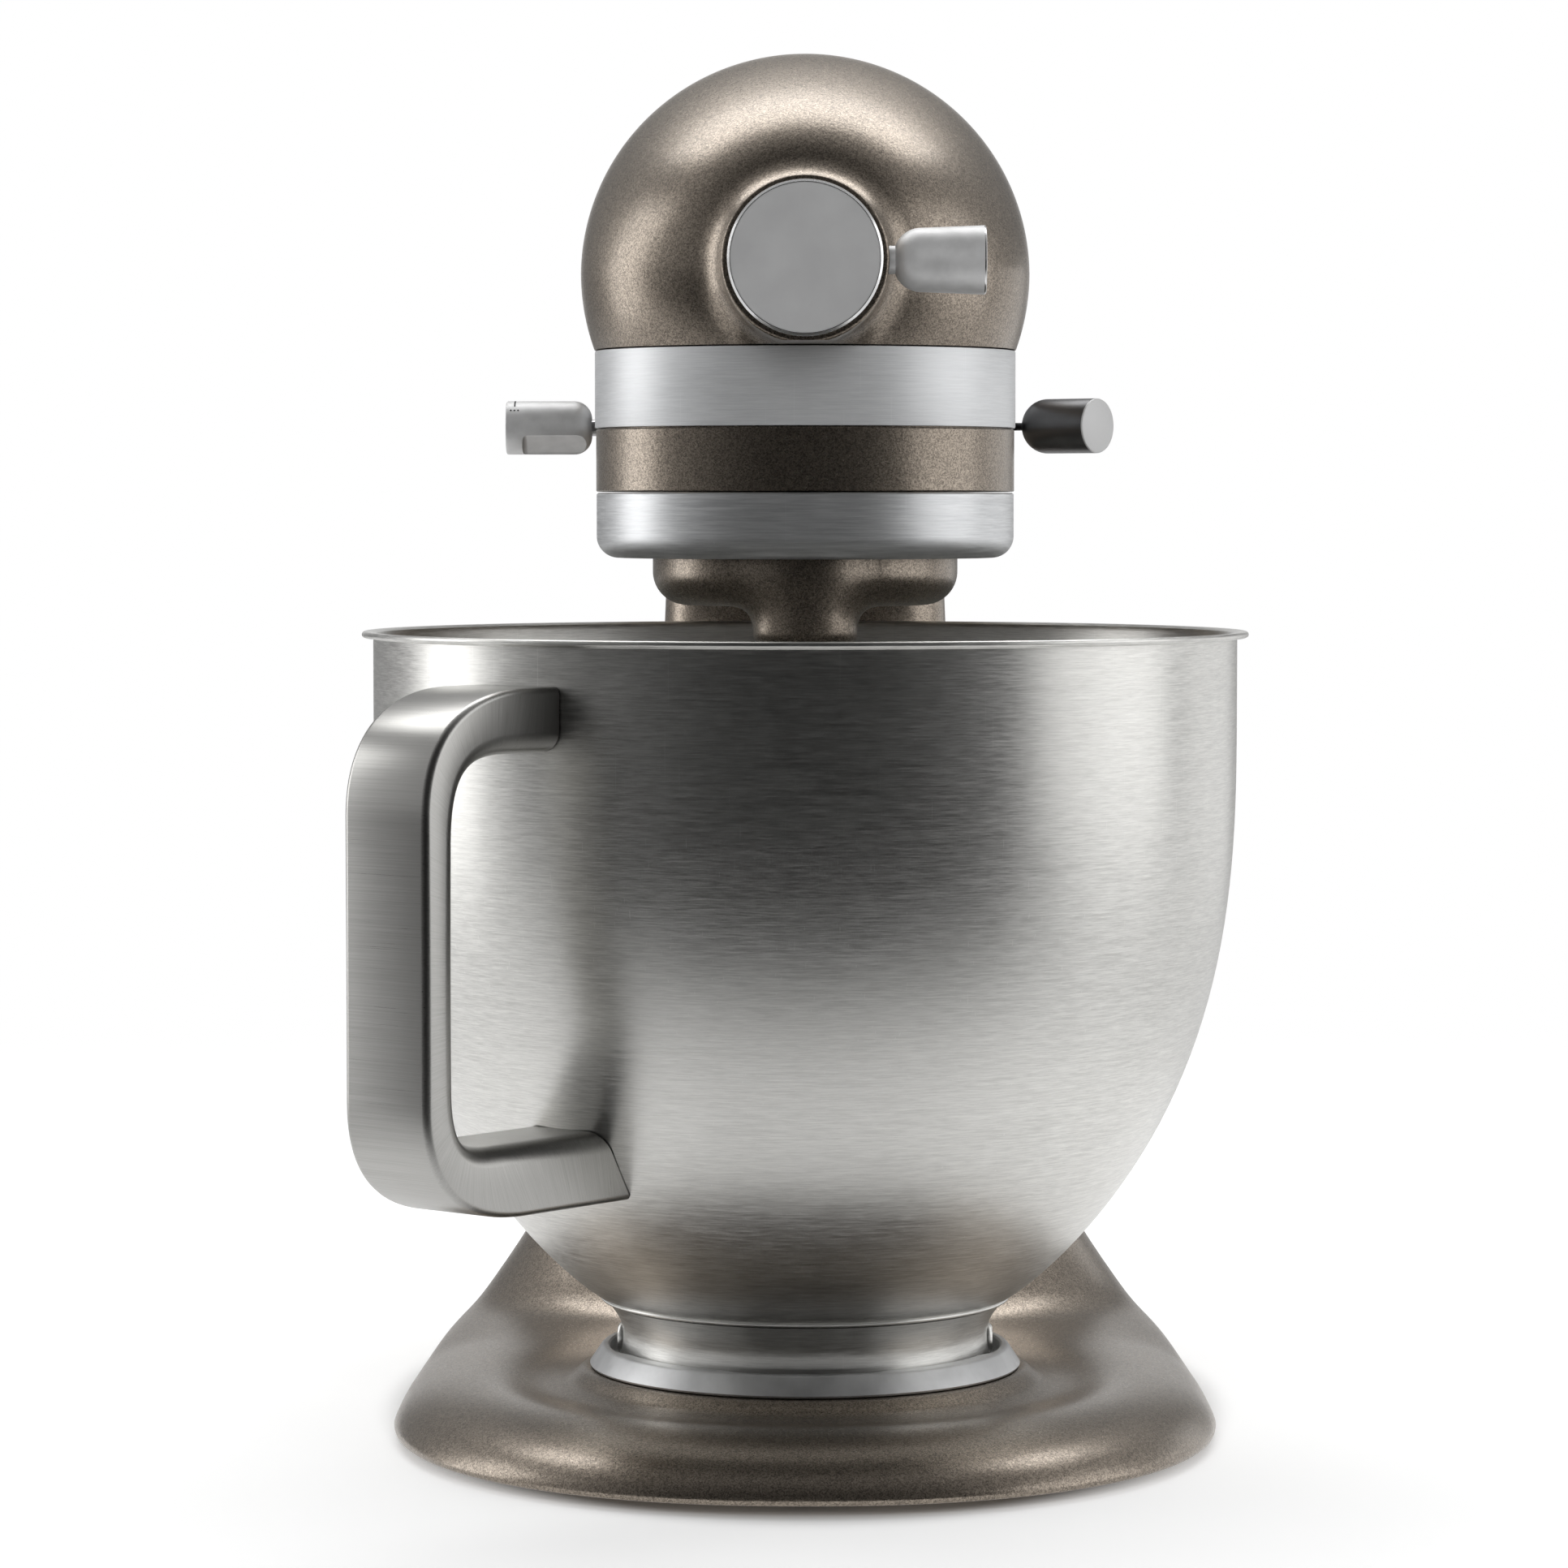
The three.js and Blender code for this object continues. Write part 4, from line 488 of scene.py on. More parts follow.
def column_ring(across, z):
    """A point on the pedestal's section at one height: a rounded box that grows by its flare."""
    r = column_corner + flare_width * math.exp(-z / flare_fade)
    rear = r / rear_squeeze
    x = column_half_width - column_corner
    front_y = column_front + column_corner
    rear_y = column_rear - column_corner / rear_squeeze
    side = 1 if across <= 0.5 else -1
    share = across * 2 if across <= 0.5 else 2 - across * 2
    if share < 0.10:
        point = (x * share / 0.10, front_y - r)
    elif share < 0.42:
        turn = math.pi / 2 * (share - 0.10) / 0.32
        point = (x + r * math.sin(turn), front_y - r * math.cos(turn))
    elif share < 0.58:
        point = (x + r, front_y + (rear_y - front_y) * (share - 0.42) / 0.16)
    elif share < 0.90:
        turn = math.pi / 2 * (share - 0.58) / 0.32
        point = (x + r * math.cos(turn), rear_y + rear * math.sin(turn))
    else:
        point = (x * (1 - share) / 0.10, rear_y + rear)
    return Vector((side * point[0], point[1] + bowl_y, z))


def carved(bm, *cutters, joined=()):
    """The solid left when the joined ones are welded to bm and each cutter is taken out of it."""
    bmesh.ops.recalc_face_normals(bm, faces=bm.faces)
    body_mesh = bpy.data.meshes.new("body")
    bm.to_mesh(body_mesh)
    body = bpy.data.objects.new("body", body_mesh)
    scene.collection.objects.link(body)
    made = [body]
    for cutter in (*joined, *cutters):
        bmesh.ops.recalc_face_normals(cutter, faces=cutter.faces)
        mesh = bpy.data.meshes.new("cutter")
        cutter.to_mesh(mesh)
        tool = bpy.data.objects.new("cutter", mesh)
        scene.collection.objects.link(tool)
        made.append(tool)
        cut = body.modifiers.new("cut", "BOOLEAN")
        cut.operation = "UNION" if cutter in joined else "DIFFERENCE"
        cut.solver = "EXACT"
        cut.object = tool
    bpy.context.view_layer.update()
    result = body.evaluated_get(bpy.context.evaluated_depsgraph_get()).to_mesh()
    bm.clear()
    bm.from_mesh(result)
    for thing in made:
        bpy.data.objects.remove(thing)
    for cutter in (*joined, *cutters):
        cutter.free()
    return bm


def block(low, high, bm=None):
    """A box between two corners, for cutting slots; it may join others in bm."""
    bm = bm or bmesh.new()
    size = Vector(high) - Vector(low)
    middle_at = Matrix.Translation((Vector(high) + Vector(low)) / 2)
    bmesh.ops.create_cube(bm, size=1, matrix=middle_at @ Matrix.Diagonal((*size, 1)))
    return bm


def close_cut(bm, at, normal):
    """Cuts away what lies beyond a plane and closes the cut with a flat face."""
    rim = plane_cut(bm, at, normal)
    if rim:
        bmesh.ops.edgeloop_fill(bm, edges=rim)


column_heart = Vector((0, bowl_y + 0.160, 0))
seam_fits = {}


def seam_fit(across):
    """How far the base's skin reaches at the joint, as a share of the pedestal's own flare."""
    way = column_ring(across, deck_height) - column_heart

    def inside(share):
        at = column_heart + way * share
        return pad_surface(at.x, at.y - bowl_y) > deck_height

    if across not in seam_fits:
        seam_fits[across] = farthest(inside, 0.3, 1.3, 24)
    return seam_fits[across]


def pedestal_point(across, along):
    """The pedestal's section, drawn in near the joint so that it runs on from the base's skin."""
    z = column_low.z + (column_high.z + 0.004 - column_low.z) * along ** 1.4
    at = column_ring(across, z)
    pull = (1 - seam_fit(across)) * (1 - step(z, deck_height, deck_height + 0.075))
    return Vector((at.x * (1 - pull), column_heart.y + (at.y - column_heart.y) * (1 - pull), z))


crown_radius = column_high.z - hinge_z
bm = sheet(160, 48, pedestal_point)
bmesh.ops.edgeloop_fill(bm, edges=[e for e in bm.edges if e.is_boundary])
close_cut(bm, (0, 0, column_high.z), (0, 0, 1))
for i in range(1, 9):
    lean = tilt_most * i / 8
    normal = Vector((0, math.sin(lean), math.cos(lean)))
    close_cut(bm, Vector((0, hinge_y, hinge_z)) + normal * crown_radius, normal)
slot_low = block(
    (-lug_slot_half, hinge_y - lug_air, hinge_z - lug_air),
    (lug_slot_half, hinge_y + lug_air, column_high.z + 0.01),
)
slot_rear = block(
    (-lug_slot_half, hinge_y, hinge_z + 0.002),
    (lug_slot_half, hinge_y + 0.06, column_high.z + 0.01),
)
bolt_low, bolt_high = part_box("lock_pin")
bolt_y = (bolt_low.y + bolt_high.y) / 2
profile = about(
    0, column_high.z, (0, -0.014), (0.0043, -0.014), (0.0043, -0.0006),
    (0.0056, 0.0007), (0.0056, 0.002), (0, 0.002))
bolt_hole = turned(profile, (0, 0, 1), (0, bolt_y, 0), 48)
bm = carved(bm, slot_low, slot_rear, bolt_hole)
fitted("pedestal_skin", bm, enamel, "base", ["pedestal_column"], crease=0.5)

# ---- Hinge pin ----
# A ground steel pin through both cheeks of the pedestal, with chamfered ends.

pin_radius = (hinge_high.z - hinge_low.z) / 2
steel = grained(
    "ground_steel", (0.46, 0.46, 0.47), 1.0, 0.3, (0.22, 0.42),
    ((2200.0, 260.0, 260.0), 3.0), 6e-6)


def pin_profile(radius, low, high, chamfer):
    """Profile of a plain pin with chamfered ends."""
    profile = [(0, low), (radius - chamfer, low), (radius, low + chamfer)]
    return profile + [(radius, high - chamfer), (radius - chamfer, high), (0, high)]


profile = pin_profile(pin_radius, hinge_low.x, hinge_high.x, 0.0008)
bm = turned(profile, (1, 0, 0), (0, hinge_y, hinge_z), 48)
fitted("hinge_rod", bm, steel, "base", ["hinge_pin"])

# ---- Bowl clamp plate ----
# A die-cast plate screwed into the base. Its sloping rim carries four wide tabs that the bowl's
# lugs turn under; the casting is tumbled to a satin skin and left bare.

plate_radius = 0.0553
plate_top_radius = 0.0519
plate_well_radius = 0.0502
tab_depth = 0.0018
plate_floor = plate_low.z + 0.0014

cast = grained(
    "tumbled_casting", (0.66, 0.665, 0.67), 0.95, 0.42, (0.36, 0.52), (1500.0, 2.0), 1.2e-5,
    (130.0, 4.0), ((0.3, (0.56, 0.565, 0.57)), (0.7, (0.70, 0.705, 0.71))), patchy=True)

plate_top = plate_high.z
plate_rows = [(0, plate_low.z)] + about(plate_radius, plate_low.z, (-0.0003, 0), (0, 0.0005))
plate_rows += about(
    plate_top_radius, plate_top, (0.0006, -0.0006), (0.0002, -0.0002), (-0.0003, 0))
plate_rows += about(
    plate_well_radius, plate_top, (0.0004, 0), (0, -0.0004), (0, -0.0014), (0, -0.0016))
plate_rows += [(plate_well_radius, plate_floor), (0, plate_floor)]


def plate_point(across, along):
    """The plate's turned section, with the tabs reaching inward at its lip."""
    row = round(along * (len(plate_rows) - 1))
    radius, z = plate_rows[row]
    turn = 2 * math.pi * across
    tab = step(math.cos(4 * (turn - math.pi / 4)), -0.30, 0.25)
    if 6 <= row <= 8:
        radius -= tab_depth * tab
    return Vector((radius * math.cos(turn), radius * math.sin(turn) + bowl_y, z))


bm = sheet(192, len(plate_rows) - 1, plate_point)
fitted("bowl_clamp", bm, cast, "base", ["clamp_plate"])

# ---- Bowl shell ----
# Stainless sheet spun over a form, with a rolled rim and a domed floor. A belt laid against the
# turning bowl leaves fine level lines all round; use adds hairline scratches.

rim_radius = 0.113
rim_height = 0.2074
bowl_radius = 0.1101
sheet_thickness = 0.0014
wall_top = 0.186
seam_radius = 0.0516
seam_height = 0.0365
floor_height = 0.0274


def bowl_wall(z):
    """Outer radius of the bowl above its foot."""
    share = min((z - seam_height) / (wall_top - seam_height), 1)
    return seam_radius + (bowl_radius - seam_radius) * (1 - (1 - share) ** 2.76) ** (1 / 1.153)


def bowl_profile(steps):
    """Outer profile from the middle of the floor to below the rim."""
    rise = seam_height - floor_height
    profile = [(seam_radius * i / 8, floor_height + rise * (i / 8) ** 2.6) for i in range(8)]
    for i in range(steps + 1):
        z = seam_height + (wall_top - seam_height) * (i / steps) ** 1.35
        profile.append((bowl_wall(z), z))
    return profile


def drawn_in(profile, wall):
    """The profile moved towards the inside of the bowl by its wall."""
    inner = []
    for i, (r, z) in enumerate(profile):
        r0, z0 = profile[max(i - 1, 0)]
        r1, z1 = profile[min(i + 1, len(profile) - 1)]
        length = math.hypot(r1 - r0, z1 - z0)
        inner.append((r - wall * (z1 - z0) / length if i else 0, z + wall * (r1 - r0) / length))
    return inner


def brushed(name, metallic, light, dark, roughness, lines, streak):
    """Bare metal brushed along level lines: hairs of tone and gloss, and slanting scratches."""
    low, high = 0.38, 0.64        # the range of the mixed noise

    def dress(tree):
        place = add(tree, "TexCoord").outputs["Object"]
        hairs = noise(tree, place, (streak, streak, lines), 4.0, 0.7)
        bands = noise(tree, place, (streak / 3, streak / 3, lines / 2.6))
        slanted = add(tree, "Mapping", {
            "Vector": place, "Rotation": (0.35, 0.35, 0.4), "Scale": (2400.0, 2400.0, 22.0)})
        scratch = spread(tree, noise(tree, slanted, 1.0, 1.0), 0.73, 0.78)
        mixed = maths(tree, "MULTIPLY", hairs, 0.76)
        mixed = maths(tree, "MULTIPLY_ADD", bands, 0.24, mixed)
        mixed = maths(tree, "MULTIPLY_ADD", scratch, 0.12, mixed)
        return {
            "Base Color": ramp(tree, mixed, (low, dark), (high, light)),
            "Roughness": spread(tree, mixed, low, high, roughness - 0.04, roughness + 0.05),
            "Normal": add(tree, "Bump", {"Height": mixed, "Distance": 6e-6}),
            "Tangent": add(tree, "CombineXYZ", {"Z": 1.0}),
            "Anisotropic": 0.4,
        }

    middle_tone = tuple((a + b) / 2 for a, b in zip(light, dark))
    return finish_of(name, middle_tone, metallic, roughness, dress)


bowl_steel = brushed(
    "bowl_stainless", 1.0, (0.76, 0.755, 0.73), (0.56, 0.555, 0.535), 0.345, 3300.0, 170.0)

profile = bowl_profile(36)
profile[8:9] = arc(seam_radius + 0.0003, seam_height + 0.0001, 0.0006, -110, 50, 8)
profile += about(
    bowl_radius, rim_height, (0, -0.0026), (0, -0.0019), (0.0003, -0.0016), (0.0012, -0.0015))
profile += arc(rim_radius - 0.0008, rim_height - 0.0008, 0.0008, -80, 90, 8)
profile += about(
    bowl_radius, rim_height, (0.0004, -0.0001), (-0.0006, -0.0006), (-0.0013, -0.0018))
profile += list(reversed(drawn_in(bowl_profile(36), sheet_thickness)))
bm = turned(profile, (0, 0, 1), (0, bowl_y, 0), 192)
fitted("bowl_wall_spun", bm, bowl_steel, "bowl", ["bowl_shell"])

# ---- Bowl foot ----
# A spun stainless ring welded under the bowl, waisted like a collar, with four pressed lugs
# that turn under the plate's tabs. The bowl's floor overhangs it as a thin bright ledge.

foot_low, foot_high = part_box("bowl_foot")
waist_radius = 0.0468
waist_height = 0.027
hem_flare = 0.0008
foot_top_radius = seam_radius - 0.0006
foot_wall = 0.0015


def waist(z):
    """Outer radius of the foot at a height."""
    if z > waist_height:
        share = (z - waist_height) / (foot_high.z - waist_height)
        return waist_radius + (foot_top_radius - waist_radius) * share ** 2
    return waist_radius + hem_flare * ((waist_height - z) / (waist_height - foot_low.z)) ** 2


hem = 0.0012
heights = [foot_low.z + hem + (foot_high.z - foot_low.z - hem) * i / 18 for i in range(19)]
profile = [(waist_radius - 0.003, foot_low.z), (waist_radius - 0.0004, foot_low.z)]
profile += [(waist(foot_low.z) - 0.0002, foot_low.z + 0.0004)]
profile += [(waist(z), z) for z in heights]
profile += [(waist(z) - foot_wall, z - 0.0006) for z in reversed(heights[2:])]
profile += about(waist_radius, foot_low.z + foot_wall, (-foot_wall, 0), (-0.003, 0))
bm = turned(profile, (0, 0, 1), (0, bowl_y, 0), 160, closed=True)
fitted("bowl_foot_ring", bm, bowl_steel, "bowl", ["bowl_foot"])

lug_low = foot_low.z + 0.0004
lug_low_half, lug_rib_half = 0.0007, 0.0042    # front and back, and the two sides
tab_under = plate_high.z - 0.0016
tab_clear = plate_well_radius - tab_depth - 0.0002
for i in range(4):
    turn = math.pi / 2 * i
    tall = lug_low_half if i % 2 else lug_rib_half
    bm = bmesh.new()
    shape = Matrix.Translation((waist_radius, 0, lug_low + tall))
    shape = shape @ Matrix.Diagonal((0.0021, 0.0026, tall, 1))
    bmesh.ops.create_uvsphere(bm, u_segments=24, v_segments=24, radius=1, matrix=shape)
    for vert in bm.verts:
        free = step(vert.co.z, tab_under - 0.0009, tab_under - 0.0002)
        vert.co.x -= max(vert.co.x - tab_clear, 0) * free
    bmesh.ops.rotate(bm, verts=bm.verts, matrix=Matrix.Rotation(turn, 3, "Z"))
    bmesh.ops.translate(bm, verts=bm.verts, vec=(0, bowl_y, 0))
    fitted(f"bowl_lug_{i + 1}", bm, bowl_steel, "bowl", [])

# ---- Bowl handle ----
# A bent stainless strap, welded to the bowl at both ends: nearly square along its outer edges and
# well rounded inside, where the hand goes. It is belt-finished across its length.

handle_turn = math.radians(39)    # from the front, towards the left
handle_reach = 0.156
handle_width = 0.0268
grip_depth = 0.0114
handle_top = 0.1962
handle_bottom = 0.0706
top_arm_depth = 0.0157
bottom_arm_depth = 0.0174
weld_gap = 0.0003


def curve(points, share):
    """A point on a Bezier curve of any order."""
    while len(points) > 1:
        points = [a.lerp(b, share) for a, b in zip(points, points[1:])]
    return points[0]


def strap_line(knots, share):
    """A point on a line of straight runs and bends; each knot is (end share, control points)."""
    start = 0.0
    for end, points in knots:
        if share <= end + 1e-9:
            return curve([Vector(p) for p in points], (share - start) / (end - start))
        start = end
    return Vector(knots[-1][1][-1])


inner_reach = handle_reach - grip_depth
inner_top = handle_top - top_arm_depth
inner_bottom = handle_bottom + bottom_arm_depth
root = bowl_radius - 0.002
low_root = bowl_wall(handle_bottom) - 0.002


def strap_edge(reach, top, bottom, upper, lower):
    """One edge of the strap; upper and lower give each bend's two lengths and their handles."""
    aside, aside_pull, down, down_pull = upper
    back, back_pull, up, up_pull = lower
    return [
        (0.16, [(root, top), (reach - aside, top)]),
        (0.36, [(reach - aside, top), (reach - aside_pull, top),
                (reach, top - down_pull), (reach, top - down)]),
        (0.60, [(reach, top - down), (reach, bottom + up)]),
        (0.82, [(reach, bottom + up), (reach, bottom + up_pull),
                (reach - back_pull, bottom), (reach - back, bottom)]),
        (1.00, [(reach - back, bottom), (low_root, bottom)]),
    ]


outer_line = strap_edge(
    handle_reach, handle_top, handle_bottom,
    (0.035, 0.014, 0.030, 0.010), (0.035, 0.014, 0.028, 0.008))
inner_line = strap_edge(
    inner_reach, inner_top, inner_bottom,
    (0.020, 0.004, 0.020, 0.006), (0.014, 0.003, 0.014, 0.003))


def strap_section(depth):
    """The strap's section as (sideways, inward) points: small outer edges, round inner ones."""
    half = handle_width / 2
    sharp, soft = 0.0018, min(0.0052, depth / 2)
    points = arc(half - sharp, sharp, sharp, -90, 0, 5)
    points += arc(half - soft, depth - soft, soft, 0, 90, 9)
    points += arc(-half + soft, depth - soft, soft, 90, 180, 9)
    points += arc(-half + sharp, sharp, sharp, 180, 270, 5)
    return points


strap_count = len(strap_section(0.01))


def strap_point(across, along):
    """A point on the strap's skin, kept outside the bowl's wall."""
    outer = strap_line(outer_line, along)
    inner = strap_line(inner_line, along)
    inward = inner - outer
    sideways, depth = strap_section(inward.length)[round(across * strap_count) % strap_count]
    at = outer + inward.normalized() * depth
    radial, z = at.x, at.y
    wall = bowl_wall(min(z, wall_top)) + weld_gap
    nearest = math.sqrt(wall ** 2 - sideways ** 2)
    if along < 1e-6 or along > 1 - 1e-6 or radial < nearest:
        radial = nearest
    x = -radial * math.sin(handle_turn) + sideways * math.cos(handle_turn)
    y = -radial * math.cos(handle_turn) - sideways * math.sin(handle_turn)
    return Vector((x, y + bowl_y, z))


def strap_dress(tree):
    """Belt lines across the strap, laid on its own map."""
    shares = add(tree, "UVMap", uv_map="shares")
    hairs = noise(tree, shares, (14.0, 900.0, 1.0), 4.0, 0.7)
    return {
        "Base Color": ramp(tree, hairs, (0.3, (0.38, 0.375, 0.36)), (0.7, (0.50, 0.495, 0.48))),
        "Roughness": spread(tree, hairs, 0.0, 1.0, 0.22, 0.38),
        "Normal": add(tree, "Bump", {"Height": hairs, "Distance": 3e-6}),
    }


strap = finish_of("strap_stainless", (0.44, 0.435, 0.42), 1.0, 0.27, strap_dress)

bm = sheet(strap_count, 120, strap_point)
bmesh.ops.holes_fill(bm, edges=[e for e in bm.edges if e.is_boundary], sides=0)
fitted("bowl_strap", bm, strap, "bowl", ["bowl_handle"], crease=0.7)

# ---- Lower housing ----
# The aluminium casting that carries the motor, the gears and both levers, sprayed with the same
# enamel. Its lower edge is crisp over the drip ring, rounds off behind it and rises at the rear.

cover_low, cover_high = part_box("hub_cover")
band_low, band_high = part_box("trim_band")
head_z = (cover_low.z + cover_high.z) / 2
band_drop = head_z - band_high.z
seam = 0.0003
head_radius = 0.0571
head_rear = 0.2412
head_taper = 4
head_nose = 2.4
housing_low = band_low.z - 0.0161
housing_floor = housing_low + 0.0042
edge_round = 0.008
rear_rise = 0.009
ledge = 0.0025                    # the neck stands this far inside the band
housing_wall = 0.003
lug_radius = 0.014
lug_half = 0.015
lock_pin_y = bowl_y + 0.138
gland_y = bowl_y + 0.218
vent_y = bowl_y + 0.212
speed_pivot = Vector((0.034, bowl_y + 0.096, 0.2605))
lock_pivot = Vector((-0.040, bowl_y + 0.100, 0.2605))


def head_reach(y):
    """Radius of the head at a distance behind the bowl's axis."""
    if y < 0:
        return math.sqrt(head_radius ** 2 - y ** 2)
    return head_radius * (1 - (y / head_rear) ** head_taper) ** (1 / head_nose)


def band_line(across, inset):
    """A point on the head's outline at the band: round front, long sides, blunt tail."""
    side = 1 if across <= 0.5 else -1
    share = 2 * min(across, 1 - across)
    if share < 0.4:
        turn = math.pi / 2 * share / 0.4
        front = math.sqrt(head_radius ** 2 - band_drop ** 2) - inset
        return side * front * math.sin(turn), -front * math.cos(turn)
    turn = math.pi / 2 * (share - 0.4) / 0.6
    level = math.hypot(band_drop, inset) / head_radius
    end = head_rear * (1 - level ** head_nose) ** (1 / head_taper)
    y = end * math.sin(turn)
    width = math.sqrt(max(head_reach(y) ** 2 - band_drop ** 2, 0)) - inset
    return (side * max(width, 0) if share < 1 else 0), y


def housing_point(across, along):
    """Rows from the middle of the underside, round the edge, up the neck and down inside."""
    span, inset, z, tuck = housing_rows[round(along * (len(housing_rows) - 1))]
    x, y = band_line(across, inset)
    behind = step(y, 0.030, 0.085)
    tail = step(y, 0.196, head_rear - 0.0036)
    x *= 1 - behind * tuck / 0.0532
    rise = rear_rise * (band_low.z - z) / (band_low.z - housing_low)
    if inset > ledge:
        rise = rear_rise
    if z < band_low.z:
        y -= tuck * tail
        z += rise * tail
    return Vector((x * span, y + bowl_y, z))


def rod(bm, start, end, radius, segments=48):
    """Adds a round bar between two points."""
    start, end = Vector(start), Vector(end)
    turn = (end - start).to_track_quat("Z", "Y").to_matrix().to_4x4()
    bmesh.ops.create_cone(
        bm, cap_ends=True, segments=segments, radius1=radius, radius2=radius,
        depth=(end - start).length, matrix=Matrix.Translation((start + end) / 2) @ turn,
    )
    return bm


def slab(outline, low, high):
    """A plate along X whose outline is given as (y, z) points."""
    bm = bmesh.new()
    face = bm.faces.new([bm.verts.new((low, y, z)) for y, z in outline])
    grown = bmesh.ops.extrude_face_region(bm, geom=[face])
    raised = [v for v in grown["geom"] if isinstance(v, bmesh.types.BMVert)]
    bmesh.ops.translate(bm, verts=raised, vec=(high - low, 0, 0))
    bmesh.ops.recalc_face_normals(bm, faces=bm.faces)
    return bm


housing_rows = [(span, seam, housing_low, edge_round) for span in (0, 0.5, 0.85, 0.95)]
for i in range(13):
    turn = math.pi / 2 * i / 12
    crisp = seam + 0.0003 * (1 - min(i / 2, 1))
    z = housing_low + edge_round * (1 - math.cos(turn))
    housing_rows.append((1, crisp, z, edge_round * (1 - math.sin(turn))))
housing_rows += [(1, seam, band_low.z - 0.0006, 0), (1, seam + 0.0003, band_low.z - seam, 0)]
housing_rows += [(1, ledge, band_low.z - seam, 0), (1, ledge, band_high.z, 0)]
inner_inset = ledge + housing_wall
housing_rows += [(1, inner_inset, band_high.z, 0)]
housing_rows += [(1, inner_inset, housing_floor, 0), (0, inner_inset, housing_floor, 0)]
bm = sheet(256, len(housing_rows) - 1, housing_point)

lug = arc(hinge_y, hinge_z, lug_radius, 180, 415, 40)
lug += [(lug[-1][0], housing_low + 0.002), (hinge_y - lug_radius, housing_low + 0.002)]
ear = slab(lug, -lug_half, lug_half)
posts = bmesh.new()
for pivot in (speed_pivot, lock_pivot):
    rod(posts, (pivot.x, pivot.y, housing_floor - 0.001), (pivot.x, pivot.y, 0.2665), 0.003)
slot_inner, slot_outer, slot_floor = 0.0433, 0.0621, band_low.z - 0.0009
slots = block(
    (slot_inner, speed_pivot.y - 0.0275, slot_floor),
    (slot_outer, speed_pivot.y + 0.0205, 0.2624))
block(
    (-slot_outer, lock_pivot.y - 0.0045, slot_floor),
    (-slot_inner, lock_pivot.y + 0.0123, 0.2659), slots)
holes = bmesh.new()
for y, top, radius in (
    (bowl_y, housing_floor + 0.001, 0.00635),          # centre shaft
    (lock_pin_y, housing_floor + 0.001, 0.00435),      # lock bolt
    (gland_y, 0.275, 0.0063),                          # cord gland
):
    rod(holes, (0, y, 0.23), (0, y, top), radius)
rod(holes, (-0.02, hinge_y, hinge_z), (0.02, hinge_y, hinge_z), 0.00435)
for i in range(6):
    vent_x = (0.012 + 0.006 * (i % 3)) * (1 if i > 2 else -1)
    vent = Matrix.Translation((vent_x, vent_y, 0.25))
    bmesh.ops.create_cube(holes, size=1, matrix=vent @ Matrix.Diagonal((0.003, 0.012, 0.05, 1)))
bm = carved(bm, slots.copy(), holes, joined=(ear, posts))
fitted("lower_casting", bm, enamel, "head", ["lower_housing"], crease=0.45)

# ---- Trim band ----
# Extruded aluminium strip rolled to the head's outline and clipped round it, brushed along its
# length and left bare. Two slots at its lower edge let the lever rods out.

band_thickness = 0.0022
band_edge = 0.0004

aluminium = brushed(
    "brushed_aluminium", 0.65, (0.77, 0.78, 0.79), (0.65, 0.66, 0.67), 0.48, 3400.0, 110.0)

band_rows = about(0, band_low.z, (band_edge, 0), (0.0001, 0.0001), (0, band_edge))
band_rows += about(0, band_high.z, (0, -band_edge), (0.0001, -0.0001), (band_edge, 0))
band_rows += [(band_thickness, band_high.z), (band_thickness, band_low.z), (band_edge, band_low.z)]


def band_point(across, along):
    """The strip's section carried round the outline."""
    inset, z = band_rows[round(along * (len(band_rows) - 1))]
    x, y = band_line(across, inset)
    return Vector((x, y + bowl_y, z))


bm = carved(sheet(256, len(band_rows) - 1, band_point), slots)
fitted("band_strip", bm, aluminium, "head", ["trim_band"], crease=0.45)

# ---- Drip ring ----
# A spun aluminium ring under the head that catches oil and crumbs, with a rolled lower edge.
# It is brushed more coarsely than the band and has picked up a few scratches.

ring_low, ring_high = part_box("drip_ring")
ring_radius = 0.0532
ring_round = 0.0055
ring_wall = 0.0028
ring_hole = 0.0433
ring_floor = 0.0024

ring_finish = brushed(
    "brushed_ring", 0.90, (0.82, 0.83, 0.84), (0.60, 0.61, 0.62), 0.44, 2300.0, 90.0)
profile = [(ring_hole, ring_low.z + 0.0003), (ring_hole + 0.0003, ring_low.z)]
profile += arc(ring_radius - ring_round, ring_low.z + ring_round, ring_round, -90, 0, 14)
profile += [(ring_radius, ring_high.z - 0.0004), (ring_radius - 0.0004, ring_high.z)]
ring_inner, ring_deck = ring_radius - ring_wall, ring_low.z + ring_floor
profile += [(ring_inner, ring_high.z), (ring_inner, ring_low.z + ring_round)]
profile += [(ring_radius - ring_round, ring_deck), (ring_hole, ring_deck)]
bm = turned(profile, (0, 0, 1), (0, bowl_y, 0), 224, closed=True)
fitted("drip_ring_spun", bm, ring_finish, "head", ["drip_ring"], crease=0.7)

# ---- Upper housing ----
# The domed motor cover, one pressure casting with the attachment boss on its front, sand-blasted
# and sprayed. Its crown lies back over the bowl, and a cross bore takes the thumb-screw.

boss_radius = 0.0202
boss_front = -0.084
boss_fillet = 0.013
bore_radius = 0.0158
bore_end = -0.024
socket_wall = 0.004
shell_wall = 0.0036
rear_seam = 0.196
crown_lean = 0.018
brush_y = bowl_y + 0.150
thumb_y = bowl_y - 0.076


def cut_at_band(bm):
    """Cuts a head shell off above the band and closes the cut between its two walls."""
    rim = plane_cut(bm, (0, 0, band_high.z + seam), (0, 0, -1))
    bmesh.ops.triangle_fill(bm, edges=rim, use_beauty=True, normal=(0, 0, -1))


